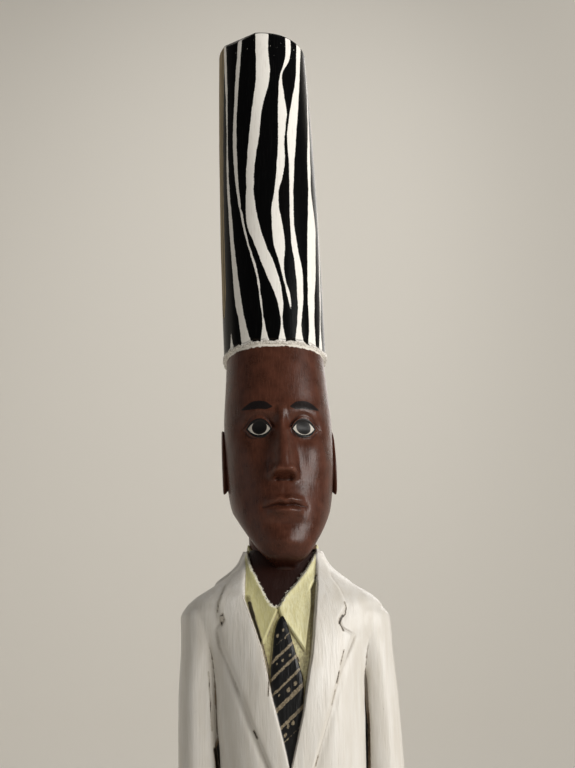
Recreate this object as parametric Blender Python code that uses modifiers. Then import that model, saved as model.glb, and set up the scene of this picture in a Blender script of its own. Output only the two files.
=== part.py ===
"""A tall wooden figure of a man in a suit and a very tall round hat, carved from one log and painted.

Metres, +Z up. The underside of its low base is centred on the origin, and the figure faces -Y.
The body is made upright, its forms are joined into one solid, and the whole is then leaned to one
side from the waist up, as the log leans.
"""

import math

import bmesh
import bpy
import numpy as np

# Driving sizes
BASE_WIDTH = 0.178
BASE_DEPTH = 0.160
BASE_HEIGHT = 0.040
LEG_LENGTH = 0.325
JACKET_LENGTH = 0.332
HEAD_HEIGHT = 0.165
HAT_HEIGHT = 0.291
SHOULDER_WIDTH = 0.153
BODY_DEPTH = 0.092
HEAD_WIDTH = 0.084
HEAD_DEPTH = 0.092
HAT_WIDTH = 0.082
LEAN_ANGLE = math.radians(1.33)
HAT_TOP_SLANT = 0.040

# Heights, from the ground up
HEM = BASE_HEIGHT + LEG_LENGTH
COLLAR_TOP = HEM + JACKET_LENGTH
CHIN = COLLAR_TOP - 0.015 * JACKET_LENGTH
RIM = CHIN + HEAD_HEIGHT
TOP = RIM + HAT_HEIGHT
WAIST = HEM + 0.56 * JACKET_LENGTH

# Half sizes
SHOULDER = SHOULDER_WIDTH / 2
DEPTH = BODY_DEPTH / 2
FACE = HEAD_WIDTH / 2
HAT = HAT_WIDTH / 2

# The cuts of the knife
LAPEL_RISE = 0.0022
SHIRT_SINK = 0.0042
COLLAR_RISE = 0.0024
TIE_RISE = 0.0026
FLAP_RISE = 0.0020
SEAM_WIDTH = 0.0016
SEAM_SINK = 0.0014
BUTTON_RADIUS = 0.0042
BUTTON_RISE = 0.0042
RIM_BAND = 0.0035
RIM_EDGE = 0.0012
BASE_CORNER = 0.026
BASE_EDGE = 0.004

# How deep a raised form is rooted in the wood under it, and how far a cutter stands clear of it
ROOT = 0.003
CLEAR = 0.012

# The jacket from hem to collar: height, half width and half depth before and behind, as shares
# of the jacket's length, half the shoulders' width and half the body's depth
JACKET_LEVELS = (
    (0.000, 0.790, 1.12, 1.08),
    (0.110, 0.785, 1.10, 1.10),
    (0.240, 0.750, 1.04, 1.06),
    (0.390, 0.690, 0.97, 0.98),
    (0.520, 0.695, 0.98, 0.97),
    (0.640, 0.720, 1.02, 1.00),
    (0.740, 0.755, 1.02, 1.00),
    (0.815, 0.830, 0.98, 0.96),
    (0.868, 0.900, 0.90, 0.88),
    (0.898, 0.930, 0.83, 0.80),
    (0.920, 0.840, 0.77, 0.75),
    (0.945, 0.640, 0.70, 0.70),
    (0.970, 0.480, 0.62, 0.64),
    (1.000, 0.395, 0.54, 0.60),
)
JACKET_POWER = 2.5

# One sleeve from shoulder to cuff: height as above, middle across and along as shares of the half
# sizes, and half width and half depth as shares of half the shoulders' width
SLEEVE_LEVELS = (
    (0.100, 0.800, -0.11, 0.196, 0.240),
    (0.130, 0.806, -0.10, 0.192, 0.238),
    (0.260, 0.826, -0.06, 0.204, 0.262),
    (0.400, 0.838, -0.02, 0.212, 0.280),
    (0.560, 0.834, 0.02, 0.216, 0.296),
    (0.700, 0.822, 0.02, 0.218, 0.318),
    (0.800, 0.796, 0.00, 0.220, 0.334),
    (0.860, 0.782, 0.00, 0.218, 0.322),
    (0.890, 0.762, 0.00, 0.206, 0.288),
    (0.906, 0.735, 0.00, 0.180, 0.230),
)

# The head from the chin's underside to the hat: height as a share of the head's, and half width
# and depth before and behind as shares of the half width and the depth
HEAD_LEVELS = (
    (-0.030, 0.360, 0.290, 0.130),
    (-0.005, 0.520, 0.375, 0.180),
    (0.045, 0.660, 0.425, 0.240),
    (0.110, 0.765, 0.447, 0.310),
    (0.200, 0.860, 0.460, 0.370),
    (0.320, 0.935, 0.465, 0.425),
    (0.450, 0.985, 0.467, 0.475),
    (0.590, 1.000, 0.470, 0.500),
    (0.700, 0.995, 0.475, 0.505),
    (0.850, 0.955, 0.465, 0.495),
    (1.000, 0.920, 0.440, 0.470),
    (1.030, 0.910, 0.430, 0.460),
)
HEAD_POWER = 2.3

# Places on the face, as shares of the head's height from the chin and of half its width from the
# middle: the brows are at two thirds, the nose ends at one third, and the face is five eyes wide
BROW_LINE = 0.667
EYE_LINE = 0.590
NOSE_END = 0.345
MOUTH_LINE = 0.225
EYE_PLACE = 0.40
EYE_HALF_WIDTH = 0.205
EYE_HALF_HEIGHT = 0.036

# Outlines on the chest: across and up, as shares of half the shoulders' width and the jacket's
# length. Minus is the viewer's left. A lapel's lip stands a little over the shirt's opening.
LIP = 0.014
CLOSING = (-0.055, 0.545)
OVERLAP = (-0.085, 0.540)
SHIRT_LEFT = ((-0.400, 1.030), (-0.405, 0.960), (-0.410, 0.897), (-0.269, 0.789), (-0.192, 0.690))
SHIRT_RIGHT = ((0.072, 0.655), (0.176, 0.773), (0.262, 0.917), (0.275, 0.973), (0.285, 1.030))
LAPEL_LEFT = (
    (-0.520, 0.955),
    (-0.581, 0.933),
    (-0.664, 0.885),
    (-0.650, 0.856),
    (-0.603, 0.850),
    (-0.655, 0.833),
    (-0.632, 0.800),
    (-0.512, 0.726),
    (-0.334, 0.610),
    (-0.200, 0.530),
    (-0.070, 0.490),
    (-0.060, 0.560),
)
LAPEL_RIGHT = (
    (0.420, 0.950),
    (0.492, 0.918),
    (0.545, 0.882),
    (0.450, 0.850),
    (0.490, 0.829),
    (0.592, 0.818),
    (0.427, 0.734),
    (0.277, 0.633),
    (0.110, 0.525),
    (-0.040, 0.470),
)
WING_LEFT = ((-0.345, 0.975), (-0.195, 0.884), (-0.110, 0.872), (-0.262, 0.797), (-0.345, 0.880))
WING_RIGHT = (
    (0.240, 0.972),
    (-0.032, 0.900),
    (-0.100, 0.876),
    (-0.080, 0.860),
    (0.125, 0.783),
    (0.205, 0.895),
)
TIE = (
    (-0.075, 0.864),
    (-0.150, 0.830),
    (-0.176, 0.775),
    (-0.205, 0.740),
    (-0.198, 0.690),
    (-0.145, 0.630),
    (-0.062, 0.560),
    (0.015, 0.610),
    (0.070, 0.680),
    (0.100, 0.724),
    (0.068, 0.755),
    (0.012, 0.807),
    (-0.030, 0.845),
)
FLAP = ((0.21, 0.245), (0.60, 0.262), (0.60, 0.222), (0.58, 0.205), (0.23, 0.190), (0.21, 0.203))
BUTTONS_UP = (0.500, 0.370, 0.240)
BUTTON_ACROSS = 0.035
FRONT_EDGE = ((-0.045, 0.560), (-0.040, 0.400), (-0.030, 0.250), (-0.012, 0.120), (0.060, -0.020))

SKIN_AND_CLOTH = (0.62, 0.58, 0.52, 1.0)


def bump(at, middle, spread):
    """A smooth hill of height one, in one direction."""
    return np.exp(-(((at - middle) / spread) ** 2))


def eased(at, low, high):
    """A smooth step from zero at one value to one at another."""
    share = np.clip((at - low) / (high - low), 0.0, 1.0)
    return share * share * (3.0 - 2.0 * share)


def through(levels, column, at):
    """A smooth curve through one column of a list of levels, read at a height."""
    heights = np.array([level[0] for level in levels])
    values = np.array([level[column] for level in levels])
    slopes = np.gradient(values, heights)
    at = np.clip(at, heights[0], heights[-1])
    index = np.clip(np.searchsorted(heights, at) - 1, 0, len(heights) - 2)
    span = heights[index + 1] - heights[index]
    t = (at - heights[index]) / span
    rise = t * t * (3.0 - 2.0 * t)
    start = t * (1.0 - t) ** 2 * span * slopes[index]
    end = t * t * (1.0 - t) * span * slopes[index + 1]
    return values[index] * (1.0 - rise) + values[index + 1] * rise + start - end


def even_steps(heights, weight, count):
    """Levels that lie closer together where the weight is larger."""
    fine = np.linspace(heights[0], heights[1], 400)
    total = np.concatenate(([0.0], np.cumsum(weight(0.5 * (fine[1:] + fine[:-1])))))
    return np.interp(np.linspace(0.0, total[-1], count), total, fine)


def oval(angles, half_width, front, back, power):
    """A squared oval, turned from its front, as two rows of x and y."""
    sine = np.sin(angles)
    cosine = np.cos(angles)
    x = half_width * np.sign(sine) * np.abs(sine) ** (2.0 / power)
    depth = np.where(cosine > 0.0, front, back)
    y = -depth * np.sign(cosine) * np.abs(cosine) ** (2.0 / power)
    return x, y


def new_object(name, mesh):
    """Makes an object of a bmesh, with its faces turned outward."""
    bmesh.ops.triangulate(mesh, faces=mesh.faces)
    bmesh.ops.recalc_face_normals(mesh, faces=mesh.faces)
    data = bpy.data.meshes.new(name)
    mesh.to_mesh(data)
    mesh.free()
    made = bpy.data.objects.new(name, data)
    CUTTERS.objects.link(made)
    made.hide_render = True
    made.display_type = "WIRE"
    return made


def loft(name, rings):
    """A closed body through rings of equally many points, listed from one end to the other."""
    mesh = bmesh.new()
    rows = [[mesh.verts.new(point) for point in ring] for ring in rings]
    for low, high in zip(rows, rows[1:]):
        for this in range(len(low)):
            following = (this + 1) % len(low)
            mesh.faces.new((low[this], low[following], high[following], high[this]))
    mesh.faces.new(reversed(rows[0]))
    mesh.faces.new(rows[-1])
    return new_object(name, mesh)


def evaluated(made):
    """Replaces an object's mesh by the one that its modifiers give."""
    graph = bpy.context.evaluated_depsgraph_get()
    data = bpy.data.meshes.new_from_object(made.evaluated_get(graph))
    made.modifiers.clear()
    made.data = data
    return made


def combine(target, other, operation):
    """Joins another body to a body, or cuts it away, and removes the other."""
    step = target.modifiers.new(operation.title(), "BOOLEAN")
    step.operation = operation
    step.object = other
    step.solver = "EXACT"
    evaluated(target)
    bpy.data.objects.remove(other, do_unlink=True)


def chest_front(x, z):
    """How far forward the jacket's own surface lies at a place on the chest."""
    up = (z - HEM) / JACKET_LENGTH
    half_width = SHOULDER * through(JACKET_LEVELS, 1, up)
    front = DEPTH * through(JACKET_LEVELS, 2, up)
    share = np.clip(np.abs(x) / half_width, 0.0, 0.97)
    return -front * (1.0 - share**JACKET_POWER) ** (1.0 / JACKET_POWER)


def slab(name, outline, under, over, across_step=0.0115, up_step=0.024):
    """A slab that follows the chest, from a depth under its surface to a height over it."""
    corners = [(across * SHOULDER, HEM + up * JACKET_LENGTH) for across, up in outline]
    mesh = bmesh.new()
    mesh.faces.new([mesh.verts.new((x, 0.0, z)) for x, z in corners])
    for axis, step in ((0, across_step), (1, up_step)):
        low = min(corner[axis] for corner in corners)
        high = max(corner[axis] for corner in corners)
        count = max(1, round((high - low) / step))
        for cut in range(1, count):
            place = low + (high - low) * cut / count
            at = (place, 0.0, 0.0) if axis == 0 else (0.0, 0.0, place)
            normal = (1.0, 0.0, 0.0) if axis == 0 else (0.0, 0.0, 1.0)
            everything = mesh.verts[:] + mesh.edges[:] + mesh.faces[:]
            bmesh.ops.bisect_plane(mesh, geom=everything, plane_co=at, plane_no=normal)
    inner = mesh.verts[:]
    outer = bmesh.ops.extrude_face_region(mesh, geom=mesh.faces[:] + mesh.edges[:] + mesh.verts[:])
    for vertex in inner:
        vertex.co.y = chest_front(vertex.co.x, vertex.co.z) + under
    for vertex in outer["geom"]:
        if isinstance(vertex, bmesh.types.BMVert):
            vertex.co.y = chest_front(vertex.co.x, vertex.co.z) - over
    return new_object(name, mesh)


def ribbon(line, width):
    """The outline of a narrow band along a line on the chest, in the chest's shares."""
    points = np.array(line)
    along = np.gradient(points * (SHOULDER, JACKET_LENGTH), axis=0)
    along /= np.linalg.norm(along, axis=1)[:, None]
    aside = np.stack((-along[:, 1], along[:, 0]), 1) * width / 2 / (SHOULDER, JACKET_LENGTH)
    return [tuple(point) for point in np.concatenate((points + aside, (points - aside)[::-1]))]


def make_jacket():
    """The jacket's body, a loft from its hem to its collar, with squared ovals for sections."""
    angles = np.linspace(0.0, 2.0 * math.pi, 32, endpoint=False)
    rings = []
    heights = even_steps((0.0, 1.0), lambda up: 1.0 + 2.6 * eased(up, 0.74, 0.86), 19)
    for up in heights:
        half_width = SHOULDER * through(JACKET_LEVELS, 1, up)
        front = DEPTH * through(JACKET_LEVELS, 2, up)
        back = DEPTH * through(JACKET_LEVELS, 3, up)
        x, y = oval(angles, half_width, front, back, JACKET_POWER)
        rings.append([(a, b, HEM + up * JACKET_LENGTH) for a, b in zip(x, y)])
    return loft("jacket", rings)


def make_sleeve(side):
    """One arm in its sleeve, hanging close to the body."""
    angles = np.linspace(0.0, 2.0 * math.pi, 16, endpoint=False)
    rings = []
    for up, across, along, half_width, half_depth in SLEEVE_LEVELS:
        x, y = oval(angles, half_width * SHOULDER, half_depth * SHOULDER, half_depth * SHOULDER, 2.3)
        middle = side * across * SHOULDER
        rings.append([(middle + a, along * DEPTH + b, HEM + up * JACKET_LENGTH) for a, b in zip(x, y)])
    return loft("sleeve", rings)


def make_hand(side):
    """A flat hand below the cuff, its four fingers parted by grooves on the outer side."""
    cuff, across, along = SLEEVE_LEVELS[0][:3]
    length = 0.205 * JACKET_LENGTH
    angles = np.linspace(0.0, 2.0 * math.pi, 20, endpoint=False)
    outer = eased(side * np.sin(angles), 0.1, 0.5)
    rings = []
    for share, thick, wide in (
        (-0.10, 0.60, 0.70),
        (0.10, 0.66, 0.76),
        (0.28, 0.80, 0.96),
        (0.48, 0.76, 1.00),
        (0.56, 0.70, 0.99),
        (0.76, 0.58, 0.92),
        (0.92, 0.46, 0.76),
        (1.00, 0.22, 0.44),
    ):
        half_depth = 0.222 * SHOULDER * wide
        x, y = oval(angles, 0.165 * SHOULDER * thick, half_depth, half_depth, 2.4)
        grooves = 0.5 - 0.5 * np.cos(2.0 * math.pi * (y / half_depth * 2.0))
        x = x * (1.0 - 0.30 * eased(share, 0.46, 0.58) * outer * (1.0 - grooves))
        middle = side * (across - 0.030) * SHOULDER
        z = HEM + cuff * JACKET_LENGTH - share * length
        rings.append([(middle + a, along * DEPTH + b, z) for a, b in zip(x, y)])
    return loft("hand", rings[::-1])


def make_thumb(side):
    """A thumb lying along the front edge of the hand."""
    cuff, across, along = SLEEVE_LEVELS[0][:3]
    length = 0.205 * JACKET_LENGTH
    angles = np.linspace(0.0, 2.0 * math.pi, 10, endpoint=False)
    rings = []
    for share, size in ((0.16, 0.5), (0.30, 0.95), (0.46, 1.0), (0.60, 0.9), (0.68, 0.55)):
        half_depth = 0.085 * SHOULDER * size
        x, y = oval(angles, 0.072 * SHOULDER * size, half_depth, half_depth, 2.0)
        middle = side * (across - 0.055) * SHOULDER
        forward = along * DEPTH - (0.120 + 0.13 * share) * SHOULDER
        z = HEM + cuff * JACKET_LENGTH - share * length
        rings.append([(middle + a, forward + b, z) for a, b in zip(x, y)])
    return loft("thumb", rings[::-1])


def make_cuff(side):
    """The end of the shirt's sleeve, a little narrower than the jacket's."""
    up, across, along, half_width, half_depth = SLEEVE_LEVELS[0]
    angles = np.linspace(0.0, 2.0 * math.pi, 16, endpoint=False)
    rings = []
    for lower in (-0.022, 0.020):
        inside = 0.86 * SHOULDER
        x, y = oval(angles, half_width * inside, half_depth * inside, half_depth * inside, 2.3)
        z = HEM + (up + lower) * JACKET_LENGTH
        middle = side * (across - 0.010) * SHOULDER
        rings.append([(middle + a, along * DEPTH + b, z) for a, b in zip(x, y)])
    return loft("cuff", rings)


def make_leg(side):
    """A trouser leg with a pressed crease before and behind, from the shoe up into the jacket."""
    angles = np.linspace(0.0, 2.0 * math.pi, 20, endpoint=False)
    crease = 1.0 + 0.07 * np.abs(np.cos(angles)) ** 12
    rings = []
    for share, across, half_width, half_depth in (
        (0.070, 0.375, 0.310, 0.60),
        (0.110, 0.372, 0.296, 0.56),
        (0.300, 0.366, 0.292, 0.56),
        (0.520, 0.360, 0.305, 0.63),
        (0.740, 0.352, 0.335, 0.76),
        (0.900, 0.352, 0.340, 0.86),
        (1.060, 0.352, 0.342, 0.90),
    ):
        x, y = oval(angles, half_width * SHOULDER, half_depth * DEPTH, half_depth * DEPTH, 2.2)
        middle = side * across * SHOULDER
        z = BASE_HEIGHT + share * LEG_LENGTH
        rings.append([(middle + a, b * c, z) for a, b, c in zip(x, y, crease)])
    return loft("leg", rings)


def make_seat():
    """The seat of the trousers, where the legs meet, up into the jacket."""
    angles = np.linspace(0.0, 2.0 * math.pi, 16, endpoint=False)
    rings = []
    for share, half_width, half_depth in (
        (0.770, 0.14, 0.22),
        (0.795, 0.26, 0.42),
        (0.860, 0.33, 0.58),
        (1.060, 0.36, 0.70),
    ):
        x, y = oval(angles, half_width * SHOULDER, half_depth * DEPTH, half_depth * DEPTH, 2.4)
        rings.append([(a, b, BASE_HEIGHT + share * LEG_LENGTH) for a, b in zip(x, y)])
    return loft("seat", rings)


def make_shoe(side):
    """A plain laced shoe: sections from heel to toe, each flat below and round above."""
    count = 14
    angles = np.linspace(0.0, 2.0 * math.pi, count, endpoint=False) + math.pi / count
    rings = []
    for along, wide, high in (
        (0.96, 0.62, 0.070),
        (0.88, 0.90, 0.105),
        (0.50, 0.98, 0.120),
        (0.00, 0.96, 0.122),
        (-0.42, 1.02, 0.106),
        (-0.86, 1.12, 0.082),
        (-1.20, 1.08, 0.066),
        (-1.42, 0.82, 0.052),
        (-1.52, 0.48, 0.038),
    ):
        width = 0.285 * SHOULDER * wide
        height = high * LEG_LENGTH
        ring = []
        for angle in angles:
            x = width * math.copysign(abs(math.sin(angle)) ** 0.75, math.sin(angle))
            rise = max(math.cos(angle), 0.0) ** 0.8
            z = BASE_HEIGHT - 0.002 + (height + 0.002) * rise
            spread = 1.0 + 0.05 * (1.0 - rise)
            ring.append((side * 0.375 * SHOULDER + x * spread, along * DEPTH, z))
        rings.append(ring)
    return loft("shoe", rings)


def face_relief(across, up):
    """How far the face stands out from the head's plain oval, as a share of the head's depth."""
    side = np.abs(across)
    relief = 0.020 * bump(up, BROW_LINE, 0.040) * eased(side, 0.0, 0.16) * (1.0 - eased(side, 0.62, 0.85))
    socket = bump(side, EYE_PLACE, 0.26) * bump(up, EYE_LINE, 0.050)
    relief -= 0.068 * socket
    lens = ((side - EYE_PLACE) / EYE_HALF_WIDTH) ** 2 + ((up - EYE_LINE) / EYE_HALF_HEIGHT) ** 2
    relief += 0.046 * np.sqrt(np.clip(1.0 - lens, 0.0, 1.0))
    ridge = eased(BROW_LINE + 0.02 - up, 0.0, BROW_LINE - NOSE_END - 0.03)
    end = eased(up, NOSE_END - 0.004, NOSE_END + 0.030)
    width = 0.085 + 0.120 * ridge
    relief += (0.030 + 0.120 * ridge) * end * np.exp(-((side / width) ** 2.6)) * eased(0.72 - up, 0.0, 0.05)
    relief += 0.050 * bump(side, 0.175, 0.085) * bump(up, NOSE_END + 0.030, 0.026)
    relief += 0.030 * bump(across, 0.0, 0.42) * bump(up, MOUTH_LINE + 0.010, 0.080)
    upper = np.clip(1.0 - (side / 0.36) ** 2, 0.0, 1.0)
    relief += 0.036 * upper * bump(up, MOUTH_LINE + 0.024, 0.017)
    relief += 0.040 * np.clip(1.0 - (side / 0.32) ** 2, 0.0, 1.0) * bump(up, MOUTH_LINE - 0.026, 0.019)
    relief -= 0.018 * upper * bump(up, MOUTH_LINE, 0.007)
    relief -= 0.014 * bump(across, 0.0, 0.26) * bump(up, 0.150, 0.020)
    relief += 0.030 * bump(across, 0.0, 0.28) * bump(up, 0.070, 0.048)
    relief += 0.022 * bump(side, 0.66, 0.24) * bump(up, 0.470, 0.085)
    relief -= 0.014 * bump(side, 0.68, 0.24) * bump(up, 0.300, 0.085)
    return relief


def make_head():
    """The head down to the underside of the jaw, which rises from the chin to the nape."""
    turn = np.linspace(-1.0, 1.0, 38, endpoint=False)
    angles = math.pi * (0.60 * turn + 0.40 * turn**3)
    heights = even_steps(
        (-0.03, 1.03),
        lambda up: 1.0
        + 1.5 * bump(up, EYE_LINE, 0.06)
        + 1.2 * bump(up, MOUTH_LINE, 0.06)
        + 1.0 * bump(up, NOSE_END, 0.03)
        - 0.6 * eased(up, 0.72, 0.80),
        36,
    )
    rings = []
    for up in heights:
        half_width = FACE * through(HEAD_LEVELS, 1, up)
        front = HEAD_DEPTH * through(HEAD_LEVELS, 2, up)
        back = HEAD_DEPTH * through(HEAD_LEVELS, 3, up)
        x, y = oval(angles, half_width, front, back, HEAD_POWER)
        facing = eased(np.cos(angles), -0.1, 0.25)
        y = y - HEAD_DEPTH * face_relief(x / FACE, up) * facing
        jaw_rise = 0.32 * HEAD_HEIGHT * np.clip(1.0 - up / 0.34, 0.0, 1.1) ** 1.6
        z = CHIN + up * HEAD_HEIGHT + jaw_rise * eased(y, -front, back)
        rings.append(list(zip(x, y, z)))
    return loft("head", rings)


def make_ear(side):
    """A flat ear between the brow and the end of the nose, hollowed inside its rim."""
    angles = np.linspace(0.0, 2.0 * math.pi, 12, endpoint=False)
    middle = CHIN + 0.5 * (BROW_LINE + NOSE_END) * HEAD_HEIGHT
    half_height = 0.5 * (BROW_LINE - NOSE_END) * HEAD_HEIGHT
    rings = []
    for out, size in ((0.88, 0.74), (0.96, 0.90), (1.010, 1.0), (1.040, 0.91), (1.038, 0.76), (1.000, 0.60)):
        ring = []
        for angle in angles:
            high = math.cos(angle)
            wide = 0.50 + 0.10 * high
            y = 0.055 * HEAD_DEPTH + half_height * size * (wide * math.sin(angle) + 0.16 * high)
            ring.append((side * out * FACE, y, middle + half_height * size * high))
        rings.append(ring)
    return loft("ear", rings)


def make_neck():
    """The neck, from inside the jacket up into the head."""
    angles = np.linspace(0.0, 2.0 * math.pi, 24, endpoint=False)
    rings = []
    for height, half_width, front, back in (
        (COLLAR_TOP - 0.060, 0.66, 0.56, 0.72),
        (COLLAR_TOP - 0.030, 0.60, 0.50, 0.70),
        (COLLAR_TOP + 0.004, 0.57, 0.46, 0.76),
        (CHIN + 0.50 * HEAD_HEIGHT, 0.60, 0.44, 0.92),
    ):
        x, y = oval(angles, half_width * FACE, front * FACE, back * FACE, 2.2)
        rings.append([(a, b, height) for a, b in zip(x, y)])
    return loft("neck", rings)


def make_shirt_band():
    """The shirt's collar where it stands round the sides and back of the neck."""
    angles = np.linspace(0.0, 2.0 * math.pi, 28, endpoint=False)
    rings = []
    for up, wide in ((0.955, 0.96), (0.990, 0.88), (1.012, 0.84), (1.018, 0.78)):
        half_width = 0.395 * SHOULDER * wide
        x, y = oval(angles, half_width, 0.50 * DEPTH * wide, 0.60 * DEPTH * wide, 2.4)
        back_rise = 0.012 * JACKET_LENGTH * eased(y, -0.3 * DEPTH, 0.5 * DEPTH)
        rings.append(list(zip(x, y, HEM + up * JACKET_LENGTH + back_rise)))
    return loft("shirt band", rings)


def make_hat():
    """The hat: a tall round block with a narrow band at its rim and a top that is not quite level."""
    radii = (
        (0.0, RIM),
        (0.985 * HAT, RIM),
        (1.015 * HAT, RIM + RIM_EDGE),
        (1.015 * HAT, RIM + RIM_BAND),
        (0.990 * HAT, RIM + RIM_BAND + RIM_EDGE),
        (1.000 * HAT, RIM + 0.35 * HAT_HEIGHT),
        (0.985 * HAT, RIM + 0.60 * HAT_HEIGHT),
        (0.950 * HAT, RIM + 0.85 * HAT_HEIGHT),
        (0.925 * HAT, TOP - 2.0 * RIM_EDGE),
        (0.895 * HAT, TOP - RIM_EDGE),
        (0.0, TOP - RIM_EDGE),
    )
    data = bpy.data.meshes.new("hat")
    corners = [(radius, 0.0, z) for radius, z in radii]
    data.from_pydata(corners, [(n, n + 1) for n in range(len(corners) - 1)], [])
    made = bpy.data.objects.new("hat", data)
    CUTTERS.objects.link(made)
    turn = made.modifiers.new("Turned", "SCREW")
    turn.axis = "Z"
    turn.steps = 36
    turn.render_steps = 36
    turn.use_merge_vertices = True
    turn.merge_threshold = 0.0001
    evaluated(made)
    mesh = bmesh.new()
    mesh.from_mesh(made.data)
    bpy.data.objects.remove(made, do_unlink=True)
    place = (-0.52 * HAT, -0.62 * HAT, TOP - RIM_EDGE)
    outward = (-0.50, -0.62, 0.62)
    everything = mesh.verts[:] + mesh.edges[:] + mesh.faces[:]
    cut = bmesh.ops.bisect_plane(mesh, geom=everything, plane_co=place, plane_no=outward, clear_outer=True)
    around_cut = [item for item in cut["geom_cut"] if isinstance(item, bmesh.types.BMEdge)]
    bmesh.ops.holes_fill(mesh, edges=around_cut)
    for vertex in mesh.verts:
        share = (vertex.co.z - RIM) / HAT_HEIGHT
        slant = HAT_TOP_SLANT * (vertex.co.y - vertex.co.x) / 2
        vertex.co.z += share * RIM_EDGE + eased(share, 0.5, 1.0) * slant
    return new_object("hat", mesh)


def make_base():
    """The low block that the shoes stand on, its edges knocked off."""
    bpy.ops.mesh.primitive_cube_add(size=1.0, location=(0.0, 0.0, BASE_HEIGHT / 2))
    made = bpy.context.object
    made.scale = (BASE_WIDTH, BASE_DEPTH, BASE_HEIGHT)
    bpy.ops.object.transform_apply(location=True, rotation=True, scale=True)
    mesh = bmesh.new()
    mesh.from_mesh(made.data)
    bpy.data.objects.remove(made, do_unlink=True)
    upright = [edge for edge in mesh.edges if abs(edge.verts[0].co.z - edge.verts[1].co.z) > BASE_HEIGHT / 2]
    bmesh.ops.bevel(mesh, geom=upright, offset=BASE_CORNER, segments=4, profile=0.5, affect="EDGES")
    top = [edge for edge in mesh.edges if min(vertex.co.z for vertex in edge.verts) > 0.9 * BASE_HEIGHT]
    bmesh.ops.bevel(mesh, geom=top, offset=BASE_EDGE, segments=2, profile=0.5, affect="EDGES")
    return new_object("base", mesh)


def make_button(up):
    """A low round button on the jacket's front edge."""
    mesh = bmesh.new()
    wide, narrow = BUTTON_RADIUS, 0.7 * BUTTON_RADIUS
    deep = ROOT + BUTTON_RISE
    bmesh.ops.create_cone(mesh, cap_ends=True, segments=12, radius1=wide, radius2=narrow, depth=deep)
    x = BUTTON_ACROSS * SHOULDER
    z = HEM + up * JACKET_LENGTH
    for vertex in mesh.verts:
        aside, above, out = vertex.co
        vertex.co = (x + aside, chest_front(x, z) + deep / 2 - BUTTON_RISE - out, z + above)
    return new_object("button", mesh)


def make_lower_body():
    """The base, the shoes and the trouser legs, joined."""
    lower = make_base()
    for side in (-1, 1):
        leg = make_leg(side)
        combine(leg, make_shoe(side), "UNION")
        combine(lower, leg, "UNION")
    combine(lower, make_seat(), "UNION")
    return lower


def make_arm(side):
    """One arm from the shoulder to the finger tips, joined."""
    arm = make_sleeve(side)
    combine(arm, make_cuff(side), "UNION")
    hand = make_hand(side)
    combine(hand, make_thumb(side), "UNION")
    combine(arm, hand, "UNION")
    return arm


def make_chest():
    """The jacket's body with its open front, lapels, flaps and buttons, and the shirt and tie."""
    chest = make_jacket()
    shirt_opening = SHIRT_LEFT + (CLOSING,) + SHIRT_RIGHT
    combine(chest, slab("shirt opening", shirt_opening, SHIRT_SINK, CLEAR), "DIFFERENCE")
    combine(chest, slab("front edge", ribbon(FRONT_EDGE, SEAM_WIDTH), SEAM_SINK, CLEAR), "DIFFERENCE")
    lapel_left = LAPEL_LEFT + tuple((across + LIP, up) for across, up in SHIRT_LEFT[:0:-1])
    lapel_right = LAPEL_RIGHT + (OVERLAP,) + tuple((across - LIP, up) for across, up in SHIRT_RIGHT[:4])
    combine(chest, slab("left lapel", lapel_left, ROOT, LAPEL_RISE), "UNION")
    combine(chest, slab("right lapel", lapel_right, 1.1 * ROOT, 1.25 * LAPEL_RISE), "UNION")
    for wing in (WING_LEFT, WING_RIGHT):
        combine(chest, slab("shirt collar", wing, SHIRT_SINK + ROOT, COLLAR_RISE - SHIRT_SINK), "UNION")
    combine(chest, slab("tie", TIE, SHIRT_SINK + ROOT, TIE_RISE - SHIRT_SINK), "UNION")
    for side in (-1, 1):
        flap = [(side * across, up) for across, up in FLAP]
        combine(chest, slab("pocket flap", flap, ROOT, FLAP_RISE), "UNION")
    for up in BUTTONS_UP:
        combine(chest, make_button(up), "UNION")
    return chest


def make_figure():
    """Joins all the carved forms into one solid and leans it from the waist up."""
    figure = make_chest()
    figure.name = "figure"
    combine(figure, make_lower_body(), "UNION")
    for side in (-1, 1):
        combine(figure, make_arm(side), "UNION")
    combine(figure, make_neck(), "UNION")
    combine(figure, make_shirt_band(), "UNION")
    head = make_head()
    for side in (-1, 1):
        combine(head, make_ear(side), "UNION")
    combine(head, make_hat(), "UNION")
    combine(figure, head, "UNION")
    for vertex in figure.data.vertices:
        rise = vertex.co.z - WAIST
        if rise > 0.0:
            vertex.co.x -= math.tan(LEAN_ANGLE) * rise
    mesh = bmesh.new()
    mesh.from_mesh(figure.data)
    bmesh.ops.remove_doubles(mesh, verts=mesh.verts, dist=0.00001)
    bmesh.ops.dissolve_degenerate(mesh, edges=mesh.edges, dist=0.00001)
    bmesh.ops.triangulate(mesh, faces=mesh.faces)
    mesh.to_mesh(figure.data)
    mesh.free()
    return figure


def paint(made):
    """Gives the figure its painted wood."""
    material = bpy.data.materials.new("painted_wood")
    material.use_nodes = True
    shader = material.node_tree.nodes["Principled BSDF"]
    shader.inputs["Base Color"].default_value = SKIN_AND_CLOTH
    shader.inputs["Roughness"].default_value = 0.35
    shader.inputs["Metallic"].default_value = 0.0
    made.data.materials.clear()
    made.data.materials.append(material)


for old in list(bpy.data.objects):
    bpy.data.objects.remove(old, do_unlink=True)

PARTS = bpy.data.collections.new("colon_figure")
CUTTERS = bpy.data.collections.new("cutters")
bpy.context.scene.collection.children.link(PARTS)
bpy.context.scene.collection.children.link(CUTTERS)

finished = make_figure()
CUTTERS.objects.unlink(finished)
PARTS.objects.link(finished)
finished.hide_render = False
finished.display_type = "TEXTURED"
paint(finished)
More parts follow.
